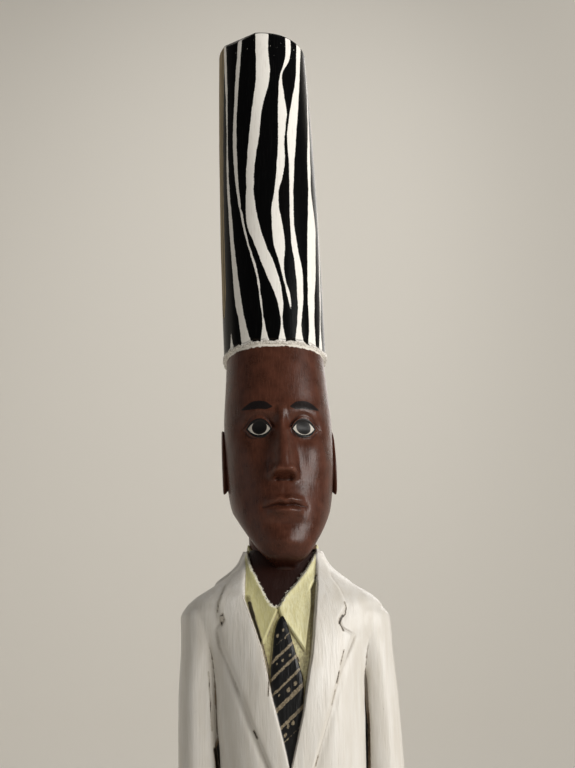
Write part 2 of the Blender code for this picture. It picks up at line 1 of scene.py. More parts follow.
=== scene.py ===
"""The tall wooden figure of a man in a pale suit and a very tall striped hat, with its paint and wear.

Metres, +Z up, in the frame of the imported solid. The body is made upright, as the solid is, and each
piece is then leaned to one side from the waist up, as the log leans. The figure faces -Y, and plus
across is the viewer's right.
"""

import math

import bmesh
import bpy
import numpy as np
from mathutils import Matrix


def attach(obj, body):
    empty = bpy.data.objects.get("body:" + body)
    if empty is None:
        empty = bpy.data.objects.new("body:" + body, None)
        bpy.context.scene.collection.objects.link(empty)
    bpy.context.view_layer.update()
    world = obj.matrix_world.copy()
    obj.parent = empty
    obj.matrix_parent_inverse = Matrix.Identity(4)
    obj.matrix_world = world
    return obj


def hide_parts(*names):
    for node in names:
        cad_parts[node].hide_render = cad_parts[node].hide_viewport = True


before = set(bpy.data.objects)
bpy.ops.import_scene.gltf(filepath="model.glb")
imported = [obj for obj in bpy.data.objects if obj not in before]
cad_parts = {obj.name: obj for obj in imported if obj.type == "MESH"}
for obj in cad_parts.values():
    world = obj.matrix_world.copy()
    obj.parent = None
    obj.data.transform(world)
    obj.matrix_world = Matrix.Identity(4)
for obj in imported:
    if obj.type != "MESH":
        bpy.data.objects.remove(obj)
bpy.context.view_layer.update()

# The solid's sizes
BASE_WIDTH = 0.178
BASE_DEPTH = 0.160
BASE_HEIGHT = 0.040
LEG_LENGTH = 0.325
JACKET_LENGTH = 0.332
HEAD_HEIGHT = 0.165
HAT_HEIGHT = 0.291
SHOULDER_WIDTH = 0.153
BODY_DEPTH = 0.092
HEAD_WIDTH = 0.084
HEAD_DEPTH = 0.092
HAT_WIDTH = 0.082
LEAN_ANGLE = math.radians(1.33)
HAT_TOP_SLANT = 0.040

HEM = BASE_HEIGHT + LEG_LENGTH
COLLAR_TOP = HEM + JACKET_LENGTH
CHIN = COLLAR_TOP - 0.015 * JACKET_LENGTH
RIM = CHIN + HEAD_HEIGHT
TOP = RIM + HAT_HEIGHT
WAIST = HEM + 0.56 * JACKET_LENGTH
SHOULDER = SHOULDER_WIDTH / 2
DEPTH = BODY_DEPTH / 2
FACE = HEAD_WIDTH / 2
HAT = HAT_WIDTH / 2
HAND_LENGTH = 0.205 * JACKET_LENGTH

# How far carved forms stand out or lie back, and small edges
LAPEL_RISE = 0.0022
SHIRT_SINK = 0.0042
COLLAR_RISE = 0.0024
COLLAR_LIFT = 0.0062
TIE_RISE = 0.0028
FLAP_RISE = 0.0020
BUTTON_RADIUS = 0.0042
BUTTON_RISE = 0.0038
BUTTON_ROOT = 0.003
SHOULDER_FILL = 0.0024
GROOVE_DEPTH = 0.0026
GROOVE_SEEN = 0.0024
RIM_BAND = 0.0035
RIM_EDGE = 0.0012
RIM_PAINT = 0.0031
BASE_CORNER = 0.026
BASE_EDGE = 0.004
SOFT = 0.0007  # half the width that a carved step takes to rise
MM = 1000.0  # millimetres in a metre, as painted places are kept in millimetres
FAR = 8.0  # millimetres outside a painted place, where nothing of it shows

# The jacket from hem to collar: height, half width and half depth before and behind, as shares
JACKET_POWER = 2.5
JACKET_LEVELS = (
    (0.000, 0.790, 1.12, 1.08), (0.110, 0.785, 1.10, 1.10), (0.240, 0.750, 1.04, 1.06),
    (0.390, 0.690, 0.97, 0.98), (0.520, 0.695, 0.98, 0.97), (0.640, 0.720, 1.02, 1.00),
    (0.740, 0.755, 1.02, 1.00), (0.815, 0.830, 0.98, 0.96), (0.868, 0.920, 0.90, 0.88),
    (0.898, 0.945, 0.83, 0.80), (0.918, 0.850, 0.77, 0.75), (0.945, 0.640, 0.70, 0.70),
    (0.970, 0.480, 0.62, 0.64), (1.000, 0.395, 0.54, 0.60),
)

# One sleeve: height, middle across and along, half width and half depth, as shares. The left one is
# squarer at its top.
SLEEVE_POWER = 2.3
SLEEVE_LEVELS = (
    (0.100, 0.800, -0.11, 0.196, 0.240), (0.130, 0.806, -0.10, 0.192, 0.238),
    (0.260, 0.826, -0.06, 0.204, 0.262), (0.400, 0.838, -0.02, 0.212, 0.280),
    (0.560, 0.834, 0.02, 0.216, 0.296), (0.700, 0.822, 0.02, 0.218, 0.318),
    (0.800, 0.796, 0.00, 0.220, 0.334), (0.860, 0.784, 0.00, 0.222, 0.322),
    (0.878, 0.776, 0.00, 0.212, 0.300), (0.890, 0.750, 0.00, 0.180, 0.240),
)
LEFT_TOP = ((0.878, 0.781, 0.00, 0.217, 0.302), (0.890, 0.768, 0.00, 0.203, 0.252))

# The shirt's collar round the neck
BAND_POWER = 2.4
BAND_WIDTH = 0.395 * SHOULDER
BAND_FRONT = 0.50 * DEPTH
BAND_BACK = 0.60 * DEPTH

# The head: height, half width and depth before and behind, as shares
HEAD_POWER = 2.3
HEAD_LEVELS = (
    (-0.030, 0.360, 0.290, 0.130), (-0.005, 0.520, 0.375, 0.180), (0.045, 0.660, 0.425, 0.240),
    (0.110, 0.765, 0.447, 0.310), (0.200, 0.860, 0.460, 0.370), (0.320, 0.935, 0.465, 0.425),
    (0.450, 0.985, 0.467, 0.475), (0.590, 1.000, 0.470, 0.500), (0.700, 0.995, 0.475, 0.505),
    (0.850, 0.955, 0.465, 0.495), (1.000, 0.920, 0.440, 0.470),
)
BROW_LINE = 0.667
EYE_LINE = 0.590
NOSE_END = 0.345
MOUTH_LINE = 0.225
EYE_PLACE = 0.40
EYE_HALF_WIDTH = 0.205
EYE_HALF_HEIGHT = 0.036
IRIS_RADIUS = 5.6  # millimetres

# The image that the camera gives, its focal length in pixels, and where the camera stands
IMAGE_HEIGHT = 768
FOCAL_PIXELS = 1156
CAMERA_PLACE = (-0.0639, -0.8639, 0.524)
CAMERA_HEADING = math.radians(4.41)
CAMERA_PITCH = math.radians(20.0)
CAMERA_ROLL = math.radians(1.2)

# Numbers and curves


def bump(at, middle, spread):
    """A smooth hill of height one, in one direction."""
    return np.exp(-(((at - middle) / spread) ** 2))


def eased(at, low, high):
    """A smooth step from zero at one value to one at another."""
    share = np.clip((at - low) / (high - low), 0.0, 1.0)
    return share * share * (3.0 - 2.0 * share)


def through(levels, column, at):
    """A smooth curve through one column of a list of levels, read at a height."""
    heights = np.array([level[0] for level in levels])
    values = np.array([level[column] for level in levels], dtype=float)
    slopes = np.gradient(values, heights)
    at = np.clip(at, heights[0], heights[-1])
    index = np.clip(np.searchsorted(heights, at) - 1, 0, len(heights) - 2)
    span = heights[index + 1] - heights[index]
    t = (at - heights[index]) / span
    rise = t * t * (3.0 - 2.0 * t)
    start = t * (1.0 - t) ** 2 * span * slopes[index]
    end = t * t * (1.0 - t) * span * slopes[index + 1]
    return values[index] * (1.0 - rise) + values[index + 1] * rise + start - end


def all_through(levels, at):
    """Smooth curves through every column of a list of levels, read at a height."""
    return [through(levels, column, at) for column in range(1, len(levels[0]))]


def even_steps(low, high, weight, count):
    """Values from low to high that lie closer together where the weight is larger."""
    fine = np.linspace(low, high, 4000)
    total = np.concatenate(([0.0], np.cumsum(weight(0.5 * (fine[1:] + fine[:-1])))))
    return np.interp(np.linspace(0.0, total[-1], count), total, fine)


def full_turn(count):
    """Angles all the way round, in even steps."""
    return np.linspace(-math.pi, math.pi, count, endpoint=False)


def oval(angles, half_width, front, back, power):
    """A squared oval, turned from its front, as two rows of x and y."""
    sine, cosine = np.sin(angles), np.cos(angles)
    x = half_width * np.sign(sine) * np.abs(sine) ** (2.0 / power)
    y = -np.where(cosine > 0.0, front, back) * np.sign(cosine) * np.abs(cosine) ** (2.0 / power)
    return x, y


def even_angles(count, power, flat, weight=lambda x, y: 1.0):
    """Angles round a squared oval whose points lie evenly along it, or closer by a weight."""
    fine = np.linspace(-math.pi, math.pi, 8001)
    x, y = oval(fine, 1.0, flat, flat, power)
    length = np.hypot(np.diff(x), np.diff(y)) * weight(0.5 * (x[1:] + x[:-1]), 0.5 * (y[1:] + y[:-1]))
    total = np.concatenate(([0.0], np.cumsum(length)))
    return np.interp(np.linspace(0.0, total[-1], count, endpoint=False), total, fine)


def share_of_oval(x, y, half_width, half_depth, power):
    """How far out places lie, as a share of a squared oval about them."""
    form = np.abs(x / half_width) ** power + np.abs(y / half_depth) ** power
    return np.maximum(form, 1e-9) ** (1.0 / power)


def outside(x, y, half_width, half_depth, power):
    """How far places lie outside a squared oval, about, in metres."""
    return np.hypot(x, y) * (1.0 - 1.0 / share_of_oval(x, y, half_width, half_depth, power))


def noise(points, size, seed):
    """Smooth noise from -1 to 1, its hills about one size across; a size may differ by axis."""
    table = np.random.default_rng(seed).uniform(-1.0, 1.0, 4096)
    flat = points.reshape(-1, 3)
    at = flat / np.asarray(size) + 100.0
    cell = np.floor(at).astype(np.int64)
    part = at - cell
    part = part * part * (3.0 - 2.0 * part)
    total = np.zeros(len(flat))
    for corner in range(8):
        step = np.array((corner & 1, corner >> 1 & 1, corner >> 2 & 1))
        key = cell + step
        index = (key[:, 0] * 73856093 ^ key[:, 1] * 19349663 ^ key[:, 2] * 83492791) % len(table)
        total += np.prod(np.where(step, part, 1.0 - part), axis=1) * table[index]
    return total.reshape(points.shape[:-1])


def rounded(corners, times=3):
    """A closed outline with its corners cut off, again and again, into curves."""
    for _ in range(times):
        following = np.roll(corners, -1, 0)
        corners = np.stack((0.75 * corners + 0.25 * following, 0.25 * corners + 0.75 * following), 1)
        corners = corners.reshape(-1, 2)
    return corners


def to_line(x, z, line):
    """The distance from places to an open line."""
    nearest = np.full(np.shape(x), np.inf)
    for (x0, z0), (x1, z1) in zip(line, line[1:]):
        over, rise = x1 - x0, z1 - z0
        along = np.clip(((x - x0) * over + (z - z0) * rise) / (over**2 + rise**2), 0, 1)
        nearest = np.minimum(nearest, np.hypot(x - x0 - along * over, z - z0 - along * rise))
    return nearest


def inside(x, z, corners):
    """The distance to a closed outline, plus inside it and minus outside."""
    within = np.zeros(np.shape(x), dtype=bool)
    closed = np.concatenate((corners, corners[:1]))
    for (x0, z0), (x1, z1) in zip(closed, closed[1:]):
        if z0 != z1:
            crosses = (z0 > z) != (z1 > z)
            within ^= crosses & (x < (x1 - x0) * (z - z0) / (z1 - z0) + x0)
    return np.where(within, 1.0, -1.0) * to_line(x, z, closed)


def chest(*numbers):
    """Places on the chest, across and up in turn, given in thousandths of half the shoulders and of
    the jacket's length, as rows in metres."""
    shares = np.array(numbers).reshape(-1, 2) / 1000
    return shares * (SHOULDER, JACKET_LENGTH) + (0.0, HEM)


# Outlines on the chest

SHIRT_OPENING = chest(
    -385, 1120, -390, 960, -410, 897, -269, 789, -192, 690, -55, 545, 72, 655, 176, 773, 262, 917,
    300, 990, 320, 1120,
)
LAPEL_LEFT = chest(
    -520, 955, -581, 933, -664, 885, -650, 856, -603, 850, -655, 833, -632, 800, -512, 726,
    -334, 610, -200, 530, -70, 490, -55, 545, -192, 690, -269, 789, -410, 897, -385, 1120, -500, 1120,
)
LAPEL_RIGHT = chest(
    420, 950, 492, 918, 545, 882, 450, 850, 490, 829, 592, 818, 427, 734, 277, 633, 110, 525,
    -40, 470, -85, 540, 72, 655, 176, 773, 262, 917, 300, 990, 320, 1120, 430, 1120,
)
WING_LEFT = chest(
    -480, 1120, -357, 1020, -327, 969, -256, 929, -190, 890, -110, 872, -262, 797, -350, 876,
    -372, 902, -480, 915,
)
WING_RIGHT = chest(
    420, 1120, 305, 1012, 269, 996, 190, 965, 78, 931, -22, 906, -100, 876, -80, 860, 125, 783,
    205, 880, 215, 920, 270, 940, 420, 955,
)
NECK_SHOWS = chest(
    -440, 1120, -357, 1016, -327, 971, -256, 931, -190, 893, -144, 881, -85, 883, -22, 909, 78, 933,
    190, 967, 269, 997, 305, 1013, 400, 1120,
)
TIE = rounded(chest(
    -75, 864, -150, 830, -176, 775, -205, 740, -198, 690, -145, 620, -80, 535, -40, 535, 48, 612,
    90, 680, 104, 724, 68, 755, 12, 807, -30, 845,
))
FLAP = rounded(chest(210, 245, 410, 254, 600, 262, 610, 232, 600, 202, 410, 194, 220, 186, 210, 215), 1)
FRONT_EDGE = chest(-45, 560, -40, 400, -30, 250, -12, 120, 60, -20)
BUTTONS_UP = (0.500, 0.370, 0.240)
BUTTON_ACROSS = 0.035

# The tie's painted bands, each by its middle and half its thickness in millimetres, and its dots by
# their middle and size
TIE_SLOPE = 0.90
TIE_BANDS = (
    (-0.061, 0.811, 0.10), (-0.087, 0.779, 0.75), (-0.079, 0.748, 0.80), (-0.055, 0.720, 0.70),
    (-0.056, 0.683, 1.20), (-0.047, 0.643, 0.95), (-0.066, 0.606, 0.20),
)
TIE_DOTS = (
    (-0.068, 0.827, 0.8), (-0.123, 0.815, 0.9), (-0.052, 0.810, 0.7), (-0.086, 0.763, 0.8),
    (-0.019, 0.774, 0.8), (-0.140, 0.756, 0.6), (-0.045, 0.703, 1.3), (0.020, 0.716, 1.2),
    (-0.132, 0.692, 0.7), (-0.062, 0.630, 1.0), (-0.016, 0.637, 1.1), (-0.088, 0.613, 1.0),
)

# Dark cracks in the jacket's paint: half the width in millimetres, then places on the chest
CRACKS = (
    (0.28, chest(-581, 933, -652, 893, -666, 870)),
    (0.28, chest(-640, 860, -616, 866, -604, 853, -630, 840, -640, 860)),
    (0.40, chest(-366, 623, -339, 608)),
    (0.95, chest(-714, 592, -700, 570, -683, 545, -676, 500)),
    (0.22, chest(-757, 748, -745, 690, -737, 628)),
    (0.26, chest(524, 888, 537, 876, 523, 862, 500, 856)),
    (0.62, chest(496, 858, 477, 851, 457, 841)),
    (0.42, chest(457, 841, 474, 835, 484, 829, 492, 825)),
    (0.12, chest(486, 785, 443, 754)),
    (0.26, chest(430, 740, 419, 731, 400, 716)),
    (0.02, chest(384, 703, 340, 672)),
    (0.10, chest(195, 572, 168, 553)),
    (0.50, chest(285, 952, 262, 942)),
    (1.00, chest(-366, 889, -348, 869, -334, 857)),
    (0.55, chest(-334, 857, -300, 829, -276, 806)),
    (0.24, chest(-300, 826, -273, 808, -211, 746, -232, 691)),
    (0.40, chest(52, 770, 66, 762)),
)

# The gap between arm and body, painted as black shadow with bare wood at its edges: height on the chest, then how
# much wider than its groove it is painted, in millimetres, on the viewer's right and left. A number well below zero
# means no gap.
SLOT_SHADOW_WIDTHS = (
    (0.000, -1.0, -1.0), (0.105, -0.3, -0.2), (0.150, 0.2, 0.3), (0.300, 0.0, 0.1),
    (0.420, 0.1, 0.2), (0.540, 0.00, 0.75), (0.585, 0.25, 0.60), (0.615, 0.30, -0.4),
    (0.650, 0.10, -0.8), (0.685, -0.60, -0.25), (0.725, -1.2, -0.35), (0.755, -2.4, -1.6),
    (0.790, -4.0, -4.0), (1.000, -9.0, -9.0),
)

# The white stripes painted up the hat: share of its height, degrees from the front, and width in
# millimetres
STRIPES = (
    (
        (0.01, -36, 9.0), (0.07, -40.5, 6.0), (0.14, -45.5, 6.6), (0.24, -49.5, 5.2), (0.33, -52.5, 4.3),
        (0.41, -54.5, 3.9), (0.49, -57, 3.2), (0.57, -58, 2.5), (0.68, -58, 1.6), (0.76, -58, 2.2),
        (0.89, -60, 3.8), (1.00, -62, 4.2),
    ),
    (
        (0.01, -14, 7.0), (0.06, -14.6, 1.9), (0.13, -17, 1.1), (0.22, -21, 2.0), (0.31, -30, 1.6),
        (0.36, -34, 1.7), (0.47, -41, 2.6), (0.55, -43, 3.7), (0.66, -44, 4.1), (0.74, -42, 3.4),
        (0.86, -38, 4.1), (0.93, -35, 3.9), (1.01, -32, 4.4),
    ),
    (
        (0.01, 5, 6.0), (0.055, 5, 1.4), (0.125, 4.4, 4.7), (0.21, -4, 9.2), (0.31, -17, 9.0),
        (0.35, -22, 10.2), (0.42, -25, 8.4), (0.46, -25, 6.8), (0.54, -23.5, 7.0), (0.64, -18, 9.0),
        (0.73, -13, 8.7), (0.84, -4.5, 12.2), (0.94, -4, 11.4), (1.01, -3, 13.0),
    ),
    (
        (0.102, 16.5, 0.1), (0.127, 15.4, 2.0), (0.21, 9.2, 2.2), (0.25, 7.5, 5.0), (0.305, 6.3, 9.4),
        (0.34, 5.4, 9.1), (0.42, 4, 5.5), (0.46, 6, 3.9), (0.53, 11.5, 6.3), (0.64, 15, 5.6),
        (0.73, 18, 7.8), (0.79, 18, 5.0), (0.85, 19, 1.8), (0.93, 31, 5.0), (0.995, 33, 6.2),
    ),
    (
        (0.01, 25, 8.0), (0.06, 25.7, 3.9), (0.13, 28.5, 5.1), (0.22, 28.6, 6.6), (0.31, 24, 4.7),
        (0.35, 23, 3.9), (0.45, 24, 3.4), (0.54, 26, 4.9), (0.65, 29, 8.8), (0.74, 35, 8.5),
        (0.87, 46, 5.4), (1.00, 55, 7.5),
    ),
    (
        (0.01, 43, 9.0), (0.07, 44, 6.7), (0.14, 45, 8.0), (0.24, 49, 11.0), (0.33, 52, 11.9),
        (0.38, 54, 12.2), (0.45, 54, 7.1), (0.49, 54, 4.5), (0.57, 56, 5.2), (0.72, 64, 3.0),
        (0.86, 72, 2.2), (0.98, 76, 2.0),
    ),
    ((0.01, -59, 6.0), (0.05, -60, 1.4), (0.09, -61, 0.2)),
    ((0.01, 61, 7.0), (0.08, 62, 2.0), (0.16, 66, 2.4), (0.28, 70, 2.2), (0.40, 76, 1.8), (0.52, 78, 0.4)),
    (
        (0.01, 85, 8.0), (0.07, 86, 3.0), (0.16, 89, 5.5), (0.30, 96, 4.0), (0.44, 101, 8.0),
        (0.58, 96, 6.5), (0.70, 95, 4.0), (0.84, 99, 7.5), (0.98, 104, 5.0),
    ),
    (
        (0.01, 113, 8.0), (0.05, 114, 2.4), (0.12, 117, 4.5), (0.24, 124, 9.0), (0.38, 128, 6.0),
        (0.50, 122, 2.2), (0.60, 120, 5.0), (0.72, 124, 8.5), (0.86, 128, 6.0), (0.98, 132, 3.0),
    ),
    (
        (0.12, 148, 0.2), (0.20, 152, 2.4), (0.33, 157, 5.0), (0.46, 152, 9.0), (0.62, 147, 7.0),
        (0.74, 150, 2.4), (0.85, 156, 5.0), (0.98, 160, 8.0),
    ),
    (
        (0.01, -187, 9.0), (0.08, -186, 3.6), (0.18, -180, 8.0), (0.30, -176, 6.5), (0.43, -182, 2.4),
        (0.55, -184, 4.6), (0.69, -180, 9.0), (0.84, -176, 7.5), (0.98, -172, 4.0),
    ),
    (
        (0.01, -153, 8.0), (0.10, -152, 4.0), (0.22, -147, 6.0), (0.36, -143, 2.0), (0.48, -149, 4.0),
        (0.61, -152, 8.5), (0.76, -147, 6.5), (0.88, -143, 3.0), (0.98, -146, 6.5),
    ),
    (
        (0.01, -125, 8.0), (0.05, -124, 2.5), (0.14, -122, 5.5), (0.26, -118, 3.6), (0.38, -115, 7.5),
        (0.52, -120, 6.5), (0.66, -124, 3.0), (0.80, -121, 5.5), (0.98, -118, 3.2),
    ),
)

# The strip of bare wood up the hat's side: share of its height, and the degrees between which it lies
BARE_STRIP = (
    (0.12, -84, -77), (0.16, -92, -72), (0.30, -97, -69), (0.49, -100, -69), (0.74, -101, -67),
    (1.02, -100, -64),
)

# Meshes


def ring(x, y, z):
    """Points from their x, y and z, each a row of numbers or one number for all."""
    return np.stack(np.broadcast_arrays(x, y, z), -1)


def parts_of(rows):
    """The x, y and z of points."""
    return np.moveaxis(rows, -1, 0)


def outward(rows):
    """The way out of a skin of rings, at each of its points."""
    around = np.roll(rows, -1, 1) - np.roll(rows, 1, 1)
    normal = np.cross(around, np.gradient(rows, axis=0))
    return normal / np.maximum(np.linalg.norm(normal, axis=2, keepdims=True), 1e-12)


def pushed(rows, amount):
    """A skin of rings moved out by an amount at each of its points."""
    return rows + outward(rows) * amount[..., None]


def rounded_end(rows, radius, count, at_start):
    """Rings with one end's edge rounded off, by a few more rings drawn in towards its middle."""
    edge = rows[0] if at_start else rows[-1]
    middle = edge.mean(0)
    reach = np.linalg.norm((edge - middle)[:, :2], axis=1).mean()
    extra = []
    for turn in 0.5 * math.pi * np.arange(1, count + 1) / count:
        drawn = middle + (edge - middle) * (1.0 - radius * (1.0 - math.cos(turn)) / reach)
        drawn[:, 2] = edge[:, 2] + (-1.0 if at_start else 1.0) * radius * math.sin(turn)
        extra.append(drawn)
    return np.concatenate((extra[::-1], rows) if at_start else (rows, extra))


def shell(rows):
    """A closed body over rings of equally many points, each end drawn in to its middle."""
    rows = np.array(rows)
    count, around = rows.shape[:2]
    points = np.concatenate((rows.reshape(-1, 3), rows[0].mean(0)[None], rows[-1].mean(0)[None]))
    first = np.arange(around)
    second = (first + 1) % around
    starts = (np.arange(count - 1) * around)[:, None]
    low, low_next = (starts + first).ravel(), (starts + second).ravel()
    quads = np.stack((low, low_next, low_next + around, low + around), 1)
    start = np.stack((second, first, np.full(around, count * around)), 1)
    last = (count - 1) * around
    end = np.stack((last + first, last + second, np.full(around, count * around + 1)), 1)
    a, b, c, d = (points[quads[:, corner]] for corner in range(4))
    middle = points.mean(0)
    volume = np.einsum("ij,ij->", a - middle, np.cross(b - middle, c - middle) + np.cross(c - middle, d - middle))
    faces = quads.tolist() + start.tolist() + end.tolist()
    if volume < 0.0:
        faces = [face[::-1] for face in faces]
    data = bpy.data.meshes.new("shell")
    data.from_pydata(points.tolist(), [], faces)
    return data


def show(name, data):
    """Adds an object to the scene, for a mesh, a light or a camera."""
    made = bpy.data.objects.new(name, data)
    bpy.context.scene.collection.objects.link(made)
    return made


def union(name, meshes):
    """One closed body of several that overlap."""
    made = show(name, meshes[0])
    for data in meshes[1:]:
        other = show("other", data)
        step = made.modifiers.new("Union", "BOOLEAN")
        step.operation = "UNION"
        step.solver = "MANIFOLD"
        step.object = other
        graph = bpy.context.evaluated_depsgraph_get()
        joined = bpy.data.meshes.new_from_object(made.evaluated_get(graph))
        made.modifiers.clear()
        made.data = joined
        bpy.data.objects.remove(other, do_unlink=True)
    return made


def side_by_side(name, meshes):
    """One object of several bodies that don't touch."""
    mesh = bmesh.new()
    for data in meshes:
        mesh.from_mesh(data)
    joined = bpy.data.meshes.new(name)
    mesh.to_mesh(joined)
    mesh.free()
    return show(name, joined)


def read(items, key, width, kind=np.float32):
    """A row of numbers for each point or edge of a mesh."""
    flat = np.empty(width * len(items), kind)
    items.foreach_get(key, flat)
    return flat.reshape(-1, width)


def get_points(data):
    """A mesh's points, as rows of x, y and z."""
    return read(data.vertices, "co", 3).astype(float)


def set_points(data, points):
    """Moves a mesh's points."""
    data.vertices.foreach_set("co", points.astype(np.float32).ravel())
    data.update()


def get_normals(data):
    """The way out of a mesh, at each point."""
    return read(data.vertex_normals, "vector", 3).astype(float)


def softened(data, points, times, weight=1.0):
    """A mesh's points drawn towards the middle of their neighbours, some number of times."""
    edges = read(data.edges, "vertices", 2, np.int32)
    near_end = np.concatenate((edges[:, 0], edges[:, 1]))
    far_end = np.concatenate((edges[:, 1], edges[:, 0]))
    count = len(points)
    near = np.maximum(np.bincount(near_end, minlength=count), 1)[:, None]
    weight = np.broadcast_to(weight, count)[:, None]
    for _ in range(times):
        middle = np.stack([np.bincount(near_end, points[far_end, axis], count) for axis in range(3)], 1) / near
        points = points + 0.5 * weight * (middle - points)
    return points


def add_attribute(data, name, values):
    """Keeps a number at each of a mesh's points for its material."""
    layer = data.attributes.new(name, "FLOAT", "POINT")
    layer.data.foreach_set("value", np.asarray(values, np.float32))


def complete(made, name, material, hollow_times, marks=None, leans=False):
    """Gives a piece its hollows' depth in millimetres, for the dirt and painted shade that its material puts there,
    and its tool marks, by amount, size and seed. Then leans it, shades it, and hangs it from the root in place
    of the solid's figure, which it hides."""
    data = made.data
    points = get_points(data)
    normals = get_normals(data)
    drawn = softened(data, points, hollow_times)
    add_attribute(data, "hollow", MM * np.einsum("ij,ij->i", drawn - points, normals))
    if marks:
        amount, size, seed = marks
        broad = noise(points, (size, size, 2.2 * size), seed)
        narrow = noise(points, (0.4 * size, 0.4 * size, size), seed + 1)
        points = points + normals * (amount * (broad + 0.4 * narrow))[:, None]
    if leans:
        points[:, 0] -= math.tan(LEAN_ANGLE) * np.clip(points[:, 2] - WAIST, 0.0, None)
    set_points(data, points)
    made.name = name
    data.name = name
    data.polygons.foreach_set("use_smooth", np.ones(len(data.polygons), bool))
    data.materials.clear()
    data.materials.append(material)
    data.update()
    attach(made, "root")
    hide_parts("figure")


# The suit


def jacket_at(up):
    """The jacket's half width, and its depths before and behind, at a share of its height."""
    wide, front, back = all_through(JACKET_LEVELS, up)
    return SHOULDER * wide, DEPTH * front, DEPTH * back


def sleeve_at(up, levels=SLEEVE_LEVELS):
    """A sleeve's middle across and along, half width and half depth, at a share of the jacket's height."""
    across, along, wide, deep = all_through(levels, up)
    return SHOULDER * across, DEPTH * along, SHOULDER * wide, SHOULDER * deep


def on_chest(x, z):
    """How far forward the jacket's plain surface lies at a place on the chest."""
    half_width, front, _ = jacket_at((z - HEM) / JACKET_LENGTH)
    share = np.clip(np.abs(x) / half_width, 0.0, 0.97)
    return -front * (1.0 - share**JACKET_POWER) ** (1.0 / JACKET_POWER)


def chest_relief(x, z):
    """How far the chest's carving stands out from the jacket's plain surface, in metres."""
    up = (z - HEM) / JACKET_LENGTH
    at_top = eased(up, 0.90, 0.97)
    opening = inside(x, z, SHIRT_OPENING)
    open_share = eased(opening, -SOFT, SOFT)
    relief = -SHIRT_SINK * open_share

    wings = np.maximum(inside(x, z, WING_LEFT), inside(x, z, WING_RIGHT))
    wing_rise = COLLAR_RISE * (0.75 + 0.25 * bump(wings, 0.0, 0.003)) * (1.0 + 0.8 * at_top)
    relief += wing_rise * eased(wings, -SOFT, SOFT) * open_share

    tie = inside(x, z, TIE)
    rounding = np.sqrt(np.clip(1.0 - (1.0 - np.clip(tie / 0.0055, 0.0, 1.0)) ** 2, 0.0, 1.0))
    tie_rise = TIE_RISE * (0.45 + 0.55 * rounding) * eased(tie, -SOFT, SOFT)
    relief = np.maximum(relief, (tie_rise - SHIRT_SINK) * open_share)

    right_lapel = inside(x, z, LAPEL_RIGHT)
    lapels = np.maximum(inside(x, z, LAPEL_LEFT), right_lapel)
    near_opening = bump(np.clip(-opening, 0.0, None), 0.0, 0.012)
    lapel_rise = LAPEL_RISE * (0.55 + 0.45 * near_opening)
    lapel_rise *= (1.0 + 0.25 * eased(right_lapel, -SOFT, SOFT)) * (1.0 - 0.55 * at_top)
    relief = np.maximum(relief, lapel_rise * eased(lapels, -1.6 * SOFT, 1.6 * SOFT) - open_share * 0.02)
    valley = (1.0 - open_share) * (1.0 - eased(up, 0.80, 0.86)) * bump(lapels, -0.0022, 0.0026)
    relief -= np.where(x < 0.0, 0.0011, 0.0006) * valley

    aside = x - np.interp(z, FRONT_EDGE[::-1, 1], FRONT_EDGE[::-1, 0])
    below = 1.0 - eased(up, 0.515, 0.545)
    relief += below * 0.0009 * eased(aside, -SOFT, SOFT) * np.exp(-np.clip(aside, 0.0, None) / 0.014)
    relief -= below * 0.0011 * bump(aside, -0.0004, 0.0009)

    flap = inside(np.abs(x), z, FLAP)
    flap_rise = FLAP_RISE * (1.0 - 0.5 * eased(up, 0.215, 0.25))
    relief += flap_rise * eased(flap, -1.6 * SOFT, 1.6 * SOFT)
    return relief - 0.0005 * bump(flap, -0.0016, 0.0012)


def to_sleeve(x, y, z):
    """How far places lie outside the nearer sleeve, about, in metres."""
    up = np.clip((z - HEM) / JACKET_LENGTH, SLEEVE_LEVELS[0][0], SLEEVE_LEVELS[-1][0])
    across, along, half_width, half_depth = sleeve_at(up)
    return outside(np.abs(x) - across, y - along, half_width, half_depth, SLEEVE_POWER)


def to_jacket(x, y, z):
    """How far places lie outside the jacket's body, about, in metres."""
    half_width, front, back = jacket_at(np.clip((z - HEM) / JACKET_LENGTH, 0.0, 1.0))
    return outside(x, y, half_width, np.where(y < 0.0, front, back), JACKET_POWER)


def groove_share(x, up):
    """How much of its depth the groove between arm and body has, less at the top and on the left."""
    return (1.0 - eased(up, 0.705, 0.770)) * (1.0 - 0.75 * (x < 0.0) * eased(up, 0.585, 0.625))


def arm_groove(distance, x, up):
    """How far the shoulder is filled where the arm joins the body, less the groove cut below."""
    fill = SHOULDER_FILL * bump(distance, 0.0, 0.0060) * eased(up, 0.760, 0.840) * (1.0 - eased(up, 0.870, 0.893))
    return fill - GROOVE_DEPTH * bump(distance, 0.0, 0.0016) * groove_share(x, up)


